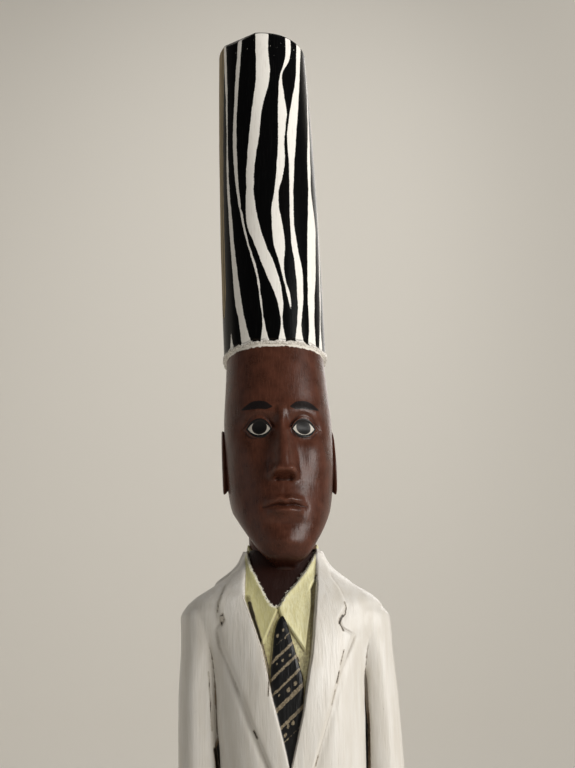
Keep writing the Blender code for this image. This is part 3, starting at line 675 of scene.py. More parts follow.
def make_jacket():
    """The jacket's body, with its lapels, shirt and tie carved into the front."""

    def nearness(x, y):
        middle = 0.34 + 0.36 * (np.abs(x) < 0.66) + 0.55 * (np.abs(x) < 0.017 / SHOULDER)
        return np.where(y < 0.0, 1.0, 0.34) * middle

    def closeness(up):
        return 0.42 + 0.58 * eased(up, 0.50, 0.56) * (1.0 - 0.35 * eased(up, 0.90, 0.94))

    angles = even_angles(290, JACKET_POWER, 0.62, nearness)
    rows = []
    for up in even_steps(0.0, 1.0, closeness, 250):
        x, y = oval(angles, *jacket_at(up), JACKET_POWER)
        beside = eased(np.abs(x), 0.14 * SHOULDER, 0.34 * SHOULDER)
        lift = np.maximum(beside, eased(y, -0.1 * DEPTH, 0.1 * DEPTH)) * eased(up, 0.920, 1.0)
        draw = 1.0 - 0.06 * lift
        rows.append(ring(x * draw, y * draw, HEM + up * JACKET_LENGTH + COLLAR_LIFT * lift))
    rows = np.array(rows)
    x, y, z = parts_of(rows)
    up = (z - HEM) / JACKET_LENGTH
    facing = eased(np.cos(angles), 0.02, 0.16)
    within_collar = -outside(x, y, 0.66 * SHOULDER, 0.86 * DEPTH, 2.0)
    collar_rise = 0.0019 * eased(within_collar, -SOFT, SOFT) * (1.0 - facing) * eased(up, 0.86, 0.90)
    rows = pushed(rows, arm_groove(np.abs(to_sleeve(x, y, z)), x, up) + collar_rise)
    back_seam = 0.0009 * bump(x, 0.0, 0.0009) * (y > 0.0) * (1.0 - eased(up, 0.86, 0.89))
    rows[..., 1] -= chest_relief(x, z) * facing + back_seam
    return shell(rounded_end(rows, 0.0022, 5, True))


def make_sleeve(side):
    """One arm in its sleeve, with a few soft folds at the elbow and a rounded cuff edge."""
    levels = SLEEVE_LEVELS if side > 0 else SLEEVE_LEVELS[:-2] + LEFT_TOP
    angles = even_angles(100, SLEEVE_POWER, 1.35)
    rows = []
    for up in np.linspace(levels[0][0], levels[-1][0], 180):
        across, along, half_width, half_depth = sleeve_at(up, levels)
        x, y = oval(angles, half_width, half_depth, half_depth, SLEEVE_POWER)
        rows.append(ring(side * across + x, along + y, HEM + up * JACKET_LENGTH))
    rows = np.array(rows)
    x, y, z = parts_of(rows)
    up = (z - HEM) / JACKET_LENGTH
    folds = bump(up, 0.470 + 0.25 * (x * side - 0.06), 0.012) - bump(up, 0.495, 0.014)
    folds *= 0.0008 * eased(-y, 0.0, 0.02)
    rows = pushed(rows, arm_groove(np.abs(to_jacket(x, y, z)), x, up) + folds)
    return shell(rounded_end(rounded_end(rows, 0.0016, 4, True), 0.0040, 4, False))


def make_shirt_band():
    """The shirt's collar where it stands round the sides and back of the neck."""
    levels = (
        (0.945, 0.96), (0.975, 0.945), (1.000, 0.925), (1.018, 0.908), (1.031, 0.893), (1.037, 0.872),
        (1.034, 0.840),
    )
    rows = []
    for up, wide in levels:
        x, y = oval(full_turn(200), BAND_WIDTH * wide, BAND_FRONT * wide, BAND_BACK * wide, BAND_POWER)
        rise = 0.010 * eased(y, 0.1 * DEPTH, 0.5 * DEPTH) - 0.060 * eased(-y, 0.05 * DEPTH, 0.42 * DEPTH)
        rows.append(ring(x, y, HEM + (up + rise) * JACKET_LENGTH))
    return shell(rows)


def make_button(up):
    """A low round button with a dished middle, rooted in the jacket."""
    profile = (
        (0.98, 0.20), (1.00, 0.55), (0.96, 0.80), (0.86, 0.95), (0.76, 0.92), (0.66, 0.74), (0.50, 0.68),
        (0.34, 0.66), (0.20, 0.44), (0.08, 0.62),
    )
    angles = full_turn(40)
    x = BUTTON_ACROSS * SHOULDER
    z = HEM + up * JACKET_LENGTH
    y = on_chest(x, z)
    rings = [(0.90, -BUTTON_ROOT)] + [(size, out * BUTTON_RISE) for size, out in profile]
    return shell([
        ring(x + BUTTON_RADIUS * size * np.sin(angles), y - out, z + BUTTON_RADIUS * size * np.cos(angles))
        for size, out in rings
    ])


def add_chest_paint(data, x, y, z):
    """Keeps how far the suit's points lie within each of the chest's painted places, in millimetres."""
    up = (z - HEM) / JACKET_LENGTH
    in_front = y < -0.2 * DEPTH

    def keep(name, values, elsewhere):
        add_attribute(data, name, np.where(in_front, MM * values, elsewhere))

    opening = inside(x, z, SHIRT_OPENING)
    behind = share_of_oval(x, y, BAND_WIDTH, np.where(y < 0.0, BAND_FRONT, BAND_BACK), BAND_POWER)
    band = np.where((up > 0.965) & (behind < 0.928), 10.0, -10.0)
    keep("shirt", np.clip(opening, -0.02, 0.02), band)
    keep("tie", np.minimum(inside(x, z, TIE), opening), -10.0)
    keep("skin", inside(x, z, NECK_SHOWS), -10.0)
    wings = np.maximum(inside(x, z, WING_LEFT), inside(x, z, WING_RIGHT))
    # High on the viewer's left the shirt counts as on a wing, so it gets none of the painted shade beside the wings.
    keep("wing", np.where((x < -0.22 * SHOULDER) & (up > 0.80), 0.005, wings), 5.0)
    crack = -0.005
    for half_width, line in CRACKS:
        crack = np.maximum(crack, half_width / MM - to_line(x, z, line))
    keep("crack", crack, -5.0)

    gold = -5.0
    for across, height, thick in TIE_BANDS:
        x0, z0 = across * SHOULDER, HEM + height * JACKET_LENGTH
        away = np.abs(z - z0 - TIE_SLOPE * (x - x0)) / math.hypot(1.0, TIE_SLOPE)
        gold = np.maximum(gold, 1.15 * thick - MM * away)
    for across, height, size in TIE_DOTS:
        x0, z0 = across * SHOULDER, HEM + height * JACKET_LENGTH
        turned = (z - z0) - 0.35 * (x - x0)
        gold = np.maximum(gold, 1.3 * size - MM * np.hypot(1.15 * (x - x0), 0.95 * turned))
    add_attribute(data, "gold", gold)


def make_suit(material):
    """The jacket with its sleeves, the shirt's collar and the buttons, as one carved body."""
    parts = [make_jacket(), make_sleeve(-1), make_sleeve(1), make_shirt_band()]
    made = union("suit", parts + [make_button(up) for up in BUTTONS_UP])
    data = made.data
    points = get_points(data)
    x, y, z = points.T
    up = (z - HEM) / JACKET_LENGTH
    seam = np.maximum(np.abs(to_sleeve(x, y, z)), np.abs(to_jacket(x, y, z)))
    at_shoulder = bump(seam, 0.0, 0.007) * eased(up, 0.775, 0.830) * (1.0 - eased(up, 0.905, 0.925))
    set_points(data, softened(data, points, 14, at_shoulder))
    add_chest_paint(data, x, y, z)
    # How far within the gap by the arms, painted as shadow with bare wood at its edges, in millimetres.
    width = np.where(x > 0.0, through(SLOT_SHADOW_WIDTHS, 1, up), through(SLOT_SHADOW_WIDTHS, 2, up)) - 0.4 * (y > 0.01)
    add_attribute(data, "slot_wood_and_shadow", width - MM * (seam - GROOVE_SEEN * groove_share(x, up)))
    complete(made, "suit", material, 10, (0.00026, 0.012, 1), True)


# The head


def eye_shape(across, up):
    """How far places lie inside the nearer eye's almond, in metres."""
    u = (np.abs(across) - EYE_PLACE) / EYE_HALF_WIDTH
    v = (up - EYE_LINE) / EYE_HALF_HEIGHT - 0.10 * u
    height = np.clip(1.0 - np.abs(u) ** 2.2, 0.0, 1.0) ** 0.85
    beyond = np.clip(np.abs(u) - 1.0, 0.0, None) * EYE_HALF_WIDTH * FACE
    return (height - np.abs(v)) * EYE_HALF_HEIGHT * HEAD_HEIGHT * 0.8 - beyond


def face_relief(across, up):
    """How far the face stands out from the head's plain oval, as a share of the head's depth."""
    side = np.abs(across)

    def spot(place, width, height, tall):
        return bump(side, place, width) * bump(up, height, tall)

    def lip(width, power):
        return np.clip(1.0 - (side / width) ** power, 0.0, 1.0)

    # Brow and eyes
    relief = 0.020 * bump(up, BROW_LINE, 0.040) * eased(side, 0.0, 0.16) * (1.0 - eased(side, 0.62, 0.85))
    relief -= 0.068 * spot(EYE_PLACE, 0.26, EYE_LINE, 0.050)
    lens = ((side - EYE_PLACE) / (1.08 * EYE_HALF_WIDTH)) ** 2 + ((up - EYE_LINE) / (1.25 * EYE_HALF_HEIGHT)) ** 2
    relief += 0.046 * np.sqrt(np.clip(1.0 - lens, 0.0, 1.0))
    almond = eye_shape(across, up)
    above = eased(up, EYE_LINE - 0.012, EYE_LINE + 0.012)
    relief += (0.007 + 0.009 * above) * bump(almond, -0.0014, 0.0011)
    relief -= 0.005 * above * bump(almond, -0.0040, 0.0010)

    # Nose
    ridge = eased(BROW_LINE + 0.02 - up, 0.0, BROW_LINE - NOSE_END - 0.03)
    end = eased(up, NOSE_END - 0.004, NOSE_END + 0.030)
    width = 0.085 + 0.120 * ridge
    relief += (0.030 + 0.120 * ridge) * end * np.exp(-((side / width) ** 2.6)) * eased(0.72 - up, 0.0, 0.05)
    relief += 0.050 * spot(0.175, 0.085, NOSE_END + 0.030, 0.026)
    relief -= 0.009 * spot(0.275, 0.035, NOSE_END + 0.040, 0.034)
    relief -= 0.028 * spot(0.115, 0.040, NOSE_END + 0.004, 0.009)

    # Mouth
    relief += 0.030 * spot(0.0, 0.42, MOUTH_LINE + 0.010, 0.080)
    relief -= 0.006 * spot(0.0, 0.045, MOUTH_LINE + 0.066, 0.022)
    bow = MOUTH_LINE + 0.024 - 0.004 * bump(side, 0.0, 0.06) + 0.003 * bump(side, 0.10, 0.05)
    relief += 0.036 * lip(0.36, 2) * bump(up, bow, 0.016)
    relief += 0.040 * lip(0.32, 2) * bump(up, MOUTH_LINE - 0.026, 0.018)
    seam = MOUTH_LINE + 0.004 * bump(side, 0.16, 0.09) - 0.002 * bump(side, 0.36, 0.08)
    relief -= 0.024 * lip(0.40, 4) * bump(up, seam, 0.0050)
    relief -= 0.010 * spot(0.385, 0.040, MOUTH_LINE - 0.002, 0.018)

    # Chin, cheeks and temples
    relief -= 0.014 * spot(0.0, 0.26, 0.150, 0.020)
    relief += 0.030 * spot(0.0, 0.28, 0.070, 0.048)
    relief += 0.022 * spot(0.66, 0.24, 0.470, 0.085)
    relief -= 0.014 * spot(0.68, 0.24, 0.300, 0.085)
    return relief - 0.006 * spot(0.86, 0.12, 0.760, 0.090)


def make_skull():
    """The head down to the underside of the jaw, which rises from the chin to the nape."""

    def closeness(up):
        hills = 0.5 * bump(up, EYE_LINE, 0.07) + 0.4 * bump(up, MOUTH_LINE, 0.07) + 0.4 * bump(up, NOSE_END, 0.04)
        return 0.62 + hills - 0.20 * eased(up, 0.72, 0.80)

    angles = even_angles(330, HEAD_POWER, 1.1, lambda x, y: 0.34 + 0.66 * (y < 0.0))
    rows = []
    for up in even_steps(-0.03, 1.0, closeness, 225):
        wide, front, back = all_through(HEAD_LEVELS, up)
        front, back = HEAD_DEPTH * front, HEAD_DEPTH * back
        x, y = oval(angles, FACE * wide, front, back, HEAD_POWER)
        y = y - HEAD_DEPTH * face_relief(x / FACE, up) * eased(np.cos(angles), -0.1, 0.25)
        jaw_rise = 0.32 * HEAD_HEIGHT * np.clip(1.0 - up / 0.34, 0.0, 1.1) ** 1.6
        rows.append(ring(x, y, CHIN + up * HEAD_HEIGHT + jaw_rise * eased(y, -front, back)))
    return shell(rounded_end(rounded_end(np.array(rows), 0.0030, 4, True), 0.0012, 3, False))


def make_ear(side):
    """A flat ear between the brow and the end of the nose, hollowed inside its rim."""
    levels = (
        (0.00, 0.880, 0.74), (0.12, 0.960, 0.90), (0.24, 1.010, 0.99), (0.36, 1.036, 0.99),
        (0.48, 1.046, 0.91), (0.58, 1.040, 0.82), (0.68, 1.005, 0.70), (0.80, 0.995, 0.50),
        (0.90, 1.008, 0.32), (1.00, 1.000, 0.10),
    )
    angles = full_turn(96) + math.pi
    high = np.cos(angles)
    middle = CHIN + 0.5 * (BROW_LINE + NOSE_END) * HEAD_HEIGHT
    half_height = 0.5 * (BROW_LINE - NOSE_END) * HEAD_HEIGHT
    rows = []
    for share in np.linspace(0.0, 1.0, 44):
        out, size = all_through(levels, share)
        reach = half_height * size
        y = 0.055 * HEAD_DEPTH + reach * ((0.50 + 0.10 * high) * np.sin(angles) + 0.16 * high)
        lobe = 0.012 * eased(-high, 0.55, 0.95) * eased(share, 0.55, 0.72)
        rows.append(ring(side * (out + lobe) * FACE, y, middle + reach * high))
    return shell(rows)


def make_neck():
    """The neck, from inside the jacket up into the head."""
    levels = (
        (COLLAR_TOP - 0.060, 0.64, 0.50, 0.52),
        (COLLAR_TOP - 0.030, 0.61, 0.48, 0.52),
        (COLLAR_TOP + 0.006, 0.60, 0.46, 0.54),
        (CHIN + 0.22 * HEAD_HEIGHT, 0.61, 0.45, 0.62),
        (CHIN + 0.50 * HEAD_HEIGHT, 0.63, 0.44, 0.84),
    )
    rows = []
    for height in np.linspace(levels[0][0], levels[-1][0], 90):
        half_width, front, back = (FACE * size for size in all_through(levels, height))
        x, y = oval(full_turn(150), half_width, front, back, 2.2)
        cords = 0.0012 * (bump(x, 0.010, 0.004) + bump(x, -0.010, 0.004)) * (y < 0.0)
        rows.append(ring(x, y - cords, height))
    return shell(rows)


def make_head(material):
    """The head with its ears and neck, the brows and eyes painted on."""
    made = union("head", [make_skull(), make_ear(-1), make_ear(1), make_neck()])
    data = made.data
    x, y, z = get_points(data).T
    across = x / FACE
    side = np.abs(across)
    up = (z - CHIN) / HEAD_HEIGHT

    def keep(name, values):
        add_attribute(data, name, np.where(y < 0.0, values, -9.0))

    keep("eye", MM * eye_shape(across, up))
    away = np.hypot((side - EYE_PLACE + 0.005) * FACE, (up - EYE_LINE - 0.005) * HEAD_HEIGHT)
    keep("iris", IRIS_RADIUS - MM * away)
    brow_middle = BROW_LINE + 0.012 + 0.020 * bump(side, 0.44, 0.26)
    taper = eased(side, 0.11, 0.30) * (1.0 - eased(side, 0.46, 0.80))
    brow = 0.0044 * taper**0.7 - 0.0010 - np.abs(up - brow_middle) * HEAD_HEIGHT
    keep("brow", np.clip(MM * brow, -6.0, 6.0))
    # How far below the chin, in millimetres, for the painted shade under the jaw.
    add_attribute(data, "under", MM * (CHIN + 0.012 - z))
    add_attribute(data, "rim", MM * (z - RIM + 0.0016))
    complete(made, "head", material, 12, (0.00010, 0.007, 5), True)


# The hat


def stripe_field(share, degrees):
    """How far places lie inside the nearest white stripe, in millimetres."""
    field = -30.0
    for levels in STRIPES:
        middle, width = all_through(levels, share)
        aside = (degrees - middle + 180.0) % 360.0 - 180.0
        half_width = np.maximum(width, 0.0) / 2
        beyond = np.clip(np.maximum(levels[0][0] - share, share - levels[-1][0]), 0.0, None)
        inner = half_width - MM * HAT * np.radians(np.abs(aside))
        field = np.maximum(field, inner - MM * HAT_HEIGHT * beyond)
    return field


def make_hat(material):
    """The hat: a tall round block with a narrow band at its rim and a top that is not quite level."""
    corners = [
        (0.60 * HAT, RIM - 0.004),
        (0.93 * HAT, RIM - 0.002),
        (0.985 * HAT, RIM),
        (1.012 * HAT, RIM + 0.5 * RIM_EDGE),
        (1.020 * HAT, RIM + 0.5 * RIM_BAND),
        (1.012 * HAT, RIM + RIM_BAND),
        (0.992 * HAT, RIM + RIM_BAND + 0.8 * RIM_EDGE),
    ]
    side = ((0.018, 0.990), (0.150, 0.996), (0.350, 1.000), (0.600, 0.985), (0.850, 0.950), (0.985, 0.925))
    for share in np.linspace(side[0][0], side[-1][0], 232):
        corners.append((HAT * through(side, 1, share), RIM + share * HAT_HEIGHT))
    wide, high = corners[-1]
    for turn in np.linspace(0.2, 0.5 * math.pi, 5):
        corners.append((wide - 0.0026 * (1.0 - math.cos(turn)), high + (TOP - high) * math.sin(turn)))
    corners += [(wide * inner, TOP) for inner in np.linspace(0.90, 0.03, 34)]
    corners = np.array(corners)
    radius = corners[:, :1]
    degrees = np.linspace(-180.0, 180.0, 300, endpoint=False)
    rows = ring(radius * np.sin(np.radians(degrees)), -radius * np.cos(np.radians(degrees)), corners[:, 1:])
    share, degrees = np.broadcast_arrays((corners[:, 1:] - RIM) / HAT_HEIGHT, degrees)

    # Uneven carving, and a lumpy rim that wanders up and down
    uneven = 0.00030 * noise(rows, (0.020, 0.020, 0.110), 21) + 0.00008 * noise(rows, (0.006, 0.006, 0.030), 22)
    wander = 0.0009 * noise(rows, (0.005, 0.005, 1.0), 23) * (1.0 - eased(share, 0.015, 0.03))
    lumps = 0.0006 * noise(rows, 0.0040, 24) * (1.0 - eased(share, 0.013, 0.020))
    rows = pushed(rows, (uneven + lumps) * eased(radius / HAT, 0.5, 0.9))
    rows[..., 2] += wander

    # The knocked-off corner and the slant of the top
    way = np.array((-0.50, -0.62, 0.62))
    way /= np.linalg.norm(way)
    beyond = (rows - (-0.52 * HAT, -0.62 * HAT, TOP - RIM_EDGE)) @ way
    rows = rows - np.clip(beyond, 0.0, None)[..., None] * way
    tall = eased((rows[..., 2] - RIM) / HAT_HEIGHT, 0.5, 1.0)
    rows[..., 2] += tall * HAT_TOP_SLANT * (rows[..., 1] - rows[..., 0]) / 2
    made = show("hat", shell(rows))

    def keep(name, values):
        add_attribute(made.data, name, np.concatenate((values.ravel(), (values[0, 0], values[-1, 0]))))

    on_top = (radius < 0.915 * HAT) & (share > 0.97)
    turned = (degrees + 270.0) % 360.0 - 270.0
    left, right = all_through(BARE_STRIP, share)
    bare = np.clip(np.minimum(turned - left, right - turned) * math.radians(1.0) * HAT * MM, -FAR, FAR)
    keep("stripe", np.where(on_top, -FAR, stripe_field(share, degrees)))
    keep("bare", np.where(on_top | (share < BARE_STRIP[0][0]), -FAR, bare))
    keep("rim", MM * (RIM_PAINT - share * HAT_HEIGHT))
    keep("top", on_top.astype(float))
    keep("height", share)
    complete(made, "hat", material, 8, None, True)


# Hands, trousers, shoes and base


def make_hand(side):
    """A flat hand below the cuff, its four fingers parted by grooves."""
    cuff, across, along = SLEEVE_LEVELS[0][:3]
    levels = (
        (-0.10, 0.60, 0.70), (0.10, 0.66, 0.76), (0.28, 0.80, 0.96), (0.48, 0.76, 1.00),
        (0.56, 0.70, 0.99), (0.76, 0.58, 0.92), (0.92, 0.46, 0.76), (1.00, 0.22, 0.44),
    )
    angles = even_angles(120, 2.4, 1.4)
    rows = []
    for share in np.linspace(1.0, -0.10, 110):
        wide, deep = all_through(levels, share)
        half_depth = 0.222 * SHOULDER * deep
        x, y = oval(angles, 0.165 * SHOULDER * wide, half_depth, half_depth, 2.4)
        place = y / half_depth * 2.0
        grooves = np.maximum(bump(place, 0.0, 0.10), np.maximum(bump(place, 1.0, 0.10), bump(place, -1.0, 0.10)))
        cut = 0.34 * eased(share, 0.44, 0.56) * grooves
        knuckles = 0.05 * bump(share, 0.46, 0.05) + 0.05 * bump(share, 0.70, 0.04)
        x = x * (1.0 - cut + knuckles * (1.0 - grooves))
        tips = 0.055 * HAND_LENGTH * (1.0 - bump(place, 0.4, 1.2)) * eased(share, 0.6, 1.0)
        z = HEM + cuff * JACKET_LENGTH - share * HAND_LENGTH + tips
        rows.append(ring(side * (across - 0.030) * SHOULDER + x, along * DEPTH + y, z))
    return shell(rounded_end(np.array(rows), 0.0016, 3, True))


def make_thumb(side):
    """A thumb lying along the front edge of the hand."""
    cuff, across, along = SLEEVE_LEVELS[0][:3]
    levels = ((0.10, 0.30), (0.20, 0.72), (0.32, 0.97), (0.46, 1.0), (0.58, 0.92), (0.66, 0.68), (0.70, 0.30))
    rows = []
    for share in np.linspace(0.70, 0.10, 44):
        size = SHOULDER * through(levels, 1, share)
        x, y = oval(full_turn(48), 0.072 * size, 0.085 * size, 0.085 * size, 2.0)
        forward = along * DEPTH - (0.120 + 0.13 * share) * SHOULDER
        z = HEM + cuff * JACKET_LENGTH - share * HAND_LENGTH
        rows.append(ring(side * (across - 0.055) * SHOULDER + x, forward + y, z))
    return shell(rows)


def make_hands(material):
    """Both hands, in the skin's paint."""
    hands = [union("hand", [make_hand(side), make_thumb(side)]) for side in (-1, 1)]
    made = side_by_side("hands", [hand.data for hand in hands])
    for hand in hands:
        bpy.data.objects.remove(hand, do_unlink=True)
    complete(made, "hands", material, 8, (0.00010, 0.006, 9))


def make_cuff(side):
    """The end of the shirt's sleeve, a little narrower than the jacket's."""
    up, across, along, half_width, half_depth = SLEEVE_LEVELS[0]
    deep = 0.86 * half_depth * SHOULDER
    x, y = oval(even_angles(96, SLEEVE_POWER, 1.25), 0.86 * half_width * SHOULDER, deep, deep, SLEEVE_POWER)
    x, y = side * (across - 0.010) * SHOULDER + x, along * DEPTH + y
    rows = [ring(x, y, HEM + (up + lower) * JACKET_LENGTH) for lower in np.linspace(-0.019, 0.020, 12)]
    return shell(rounded_end(np.array(rows), 0.0010, 3, True))


def make_cuffs(material):
    """Both shirt cuffs."""
    complete(side_by_side("cuffs", [make_cuff(-1), make_cuff(1)]), "cuffs", material, 6)


def make_leg(side):
    """A trouser leg with a pressed crease before and behind, from the shoe up into the jacket."""
    levels = (
        (0.070, 0.375, 0.310, 0.60), (0.110, 0.372, 0.296, 0.56), (0.300, 0.366, 0.292, 0.56),
        (0.520, 0.360, 0.305, 0.63), (0.740, 0.352, 0.335, 0.76), (0.900, 0.352, 0.340, 0.86),
        (1.060, 0.352, 0.342, 0.90),
    )
    angles = even_angles(150, 2.2, 1.1, lambda x, y: 1.0 + 1.5 * (np.abs(x) < 0.12))
    crease = 1.0 + 0.075 * np.exp(-np.abs(np.sin(angles)) / 0.16)
    rows = []
    for share in np.linspace(levels[0][0], levels[-1][0], 240):
        across, half_width, half_depth = all_through(levels, share)
        x, y = oval(angles, half_width * SHOULDER, half_depth * DEPTH, half_depth * DEPTH, 2.2)
        over_shoe = 0.020 * LEG_LENGTH * eased(-y, 0.0, 0.5 * DEPTH) * bump(share, 0.070, 0.06)
        z = BASE_HEIGHT + share * LEG_LENGTH + over_shoe
        rows.append(ring(side * across * SHOULDER + x, y * crease, z))
    rows = np.array(rows)
    x, y, z = parts_of(rows)
    share = (z - BASE_HEIGHT) / LEG_LENGTH
    turned = side * (x - side * 0.36 * SHOULDER) / SHOULDER
    folds = bump(share, 0.150 + 0.04 * turned, 0.016) - 0.8 * bump(share, 0.190 - 0.05 * turned, 0.018)
    folds += 0.6 * bump(share, 0.235 + 0.05 * turned, 0.015)
    knee = 0.5 * bump(share, 0.545 + 0.10 * turned, 0.014) - 0.6 * bump(share, 0.520 + 0.06 * turned, 0.018)
    rows = pushed(rows, 0.0007 * folds + 0.0006 * knee * eased(y, -0.005, 0.02))
    return shell(rounded_end(rows, 0.0014, 4, True))


def make_seat():
    """The seat of the trousers, where the legs meet, up into the jacket."""
    levels = ((0.770, 0.14, 0.22), (0.795, 0.26, 0.42), (0.860, 0.33, 0.58), (1.060, 0.36, 0.70))
    rows = []
    for share in np.linspace(levels[0][0], levels[-1][0], 60):
        wide, deep = all_through(levels, share)
        x, y = oval(full_turn(90), wide * SHOULDER, deep * DEPTH, deep * DEPTH, 2.4)
        rows.append(ring(x, y, BASE_HEIGHT + share * LEG_LENGTH))
    return shell(rows)


def make_trousers(material):
    """Both legs and the seat between them, as one carved body."""
    made = union("trousers", [make_leg(-1), make_seat(), make_leg(1)])
    complete(made, "trousers", material, 10, (0.00016, 0.010, 13))


def make_shoe(side):
    """A plain laced shoe: sections from heel to toe, each flat below and round above."""
    levels = (
        (-1.52, 0.48, 0.038), (-1.42, 0.82, 0.052), (-1.20, 1.08, 0.066), (-0.86, 1.12, 0.082),
        (-0.42, 1.02, 0.106), (0.00, 0.96, 0.122), (0.50, 0.98, 0.120), (0.88, 0.90, 0.105),
        (0.96, 0.62, 0.070),
    )
    under = 0.002
    angles = full_turn(132) + math.pi + math.pi / 132
    sine = np.sin(angles)
    rise = np.clip(np.cos(angles), 0.0, None) ** 0.8
    rows = []
    for along in np.linspace(levels[0][0], levels[-1][0], 150):
        wide, tall = all_through(levels, along)
        x = 0.285 * SHOULDER * wide * np.sign(sine) * np.abs(sine) ** 0.75
        over = (tall * LEG_LENGTH + under) * rise - under
        sole = 0.0011 * (1.0 - eased(over, 0.0036, 0.0046)) * sine
        laces = 0.0010 * eased(rise, 0.86, 0.95) * sum(bump(along, place, 0.035) for place in (-0.62, -0.48, -0.34))
        x = side * 0.375 * SHOULDER + x * (1.0 + 0.05 * (1.0 - rise)) + sole
        rows.append(ring(x, along * DEPTH, BASE_HEIGHT + over + laces))
    rows = np.array(rows)
    middle = rows.mean(1, keepdims=True)
    toe = middle[:1] + (rows[:1] - middle[:1]) * 0.55 - (0.0, 0.0012, 0.0)
    heel = middle[-1:] + (rows[-1:] - middle[-1:]) * 0.6 + (0.0, 0.0012, 0.0)
    return shell(np.concatenate((toe, rows, heel)))


def make_shoes(material):
    """Both shoes."""
    complete(side_by_side("shoes", [make_shoe(-1), make_shoe(1)]), "shoes", material, 8, (0.00010, 0.008, 17))


def make_base(material):
    """The low block that the shoes stand on, its corners round and its edges knocked off."""
    count = 440
    half = np.array((BASE_WIDTH / 2, BASE_DEPTH / 2))
    outline = []
    for turn, corner in ((-0.5, (1, -1)), (0.0, (1, 1)), (0.5, (-1, 1)), (1.0, (-1, -1))):
        for angle in math.pi * (turn + np.linspace(0.0, 0.5, 40)):
            outline.append(corner * (half - BASE_CORNER) + BASE_CORNER * np.array((math.cos(angle), math.sin(angle))))
    closed = np.array(outline + outline[:1])
    length = np.concatenate(([0.0], np.cumsum(np.linalg.norm(np.diff(closed, axis=0), axis=1))))
    places = np.linspace(0.0, length[-1], count, endpoint=False)
    x, y = (np.interp(places, length, closed[:, axis]) for axis in (0, 1))

    levels = [(inset, 0.0) for inset in np.linspace(0.070, 0.002, 24)] + [(0.0006, 0.0006)]
    levels += [(0.0, z) for z in np.linspace(0.002, BASE_HEIGHT - BASE_EDGE, 34)]
    for turn in np.linspace(0.15, 0.5 * math.pi, 8):
        levels.append((BASE_EDGE * (1.0 - math.cos(turn)), BASE_HEIGHT - BASE_EDGE * (1.0 - math.sin(turn))))
    levels += [(inset, BASE_HEIGHT) for inset in np.linspace(0.0055, 0.076, 60)]
    rows = np.array([ring(x * (1.0 - inset / half[0]), y * (1.0 - inset / half[1]), z) for inset, z in levels])

    chisel = noise(rows, (0.011, 0.011, 0.030), 31) * 0.00055 + noise(rows, (0.004, 0.004, 0.012), 32) * 0.00016
    ripple = noise(rows, (0.060, 0.008, 1.0), 33) * 0.00025
    z = rows[..., 2]
    on_side = 1.0 - eased(np.abs(z - 0.5 * BASE_HEIGHT), 0.3 * BASE_HEIGHT, 0.5 * BASE_HEIGHT)
    cut = np.abs(chisel) * (0.25 + on_side) + np.abs(ripple) * (z > 0.98 * BASE_HEIGHT)
    complete(show("base", shell(pushed(rows, -cut * (z > 0.001)))), "base", material, 8)


# Materials


class Paint:
    """A node material, and short ways to wire it and to lay one colour over another."""

    def __init__(self, name):
        self.material = bpy.data.materials.new(name)
        self.material.use_nodes = True
        self.tree = self.material.node_tree
        self.shader = self.tree.nodes["Principled BSDF"]
        self.place = self.tree.nodes.new("ShaderNodeTexCoord").outputs["Object"]
        self.colour = None

    def put(self, value, socket):
        """Wires a value to a socket, or sets it there."""
        if isinstance(value, bpy.types.NodeSocket):
            self.tree.links.new(value, socket)
        else:
            socket.default_value = value

    def node(self, kind, inputs, **settings):
        made = self.tree.nodes.new(kind)
        for key, value in settings.items():
            setattr(made, key, value)
        for key, value in inputs.items():
            self.put(value, made.inputs[key])
        return made

    def math(self, operation, a, b=0.0):
        return self.node("ShaderNodeMath", {0: a, 1: b}, operation=operation).outputs[0]

    def times(self, a, b):
        return self.math("MULTIPLY", a, b)

    def plus(self, *terms):
        """The sum of terms, each a value or a value and its factor."""
        total = None
        for term in terms:
            term = self.times(*term) if isinstance(term, tuple) else term
            total = term if total is None else self.math("ADD", total, term)
        return total

    def attribute(self, name):
        return self.node("ShaderNodeAttribute", {}, attribute_name=name).outputs["Fac"]

    def noise(self, size, detail=3.0, roughness=0.5, offset=0.0):
        """Noise whose grains are so many metres long in x, y and z."""
        size = (size, size, size) if isinstance(size, float) else size
        scale = tuple(1.0 / part for part in size)
        at = self.node("ShaderNodeMapping", {"Vector": self.place, "Scale": scale, "Location": (offset,) * 3})
        inputs = {"Vector": at.outputs[0], "Scale": 1.0, "Detail": detail, "Roughness": roughness}
        return self.node("ShaderNodeTexNoise", inputs).outputs[0]

    def step(self, value, low, high):
        """Rises smoothly from zero at one value to one at another."""
        inputs = {"Value": value, "From Min": low, "From Max": high}
        return self.node("ShaderNodeMapRange", inputs, interpolation_type="SMOOTHSTEP").outputs[0]

    def shift(self, value, by, amount):
        """A value moved by noise about its middle."""
        return self.plus(value, (self.math("SUBTRACT", by, 0.5), amount))

    def mix(self, share, a, b):
        """One colour turned into another by a share."""
        made = self.node("ShaderNodeMix", {0: share}, data_type="RGBA")
        for index, value in ((6, a), (7, b)):
            self.put((*value, 1.0) if isinstance(value, tuple) else value, made.inputs[index])
        return made.outputs[2]

    def blend(self, share, a, b):
        """One number turned into another by a share."""
        return self.node("ShaderNodeMix", {0: share, 2: a, 3: b}, data_type="FLOAT").outputs[0]

    def coat(self, share, colour, amount=None):
        """Lays a colour over the paint so far, by a share and up to an amount."""
        share = self.times(share, amount) if amount else share
        self.colour = self.mix(share, self.colour, colour)

    def finish(self, roughness, height, distance, ior=1.45, level=0.5):
        """Wires the shader's colour, roughness and relief, the height being in units of the distance."""
        bumped = self.node("ShaderNodeBump", {"Height": height, "Distance": distance, "Strength": 1.0})
        inputs = {"Base Color": self.colour, "Roughness": roughness, "Normal": bumped.outputs[0]}
        for key, value in {**inputs, "IOR": ior, "Specular IOR Level": level}.items():
            self.put(value, self.shader.inputs[key])
        return self.material


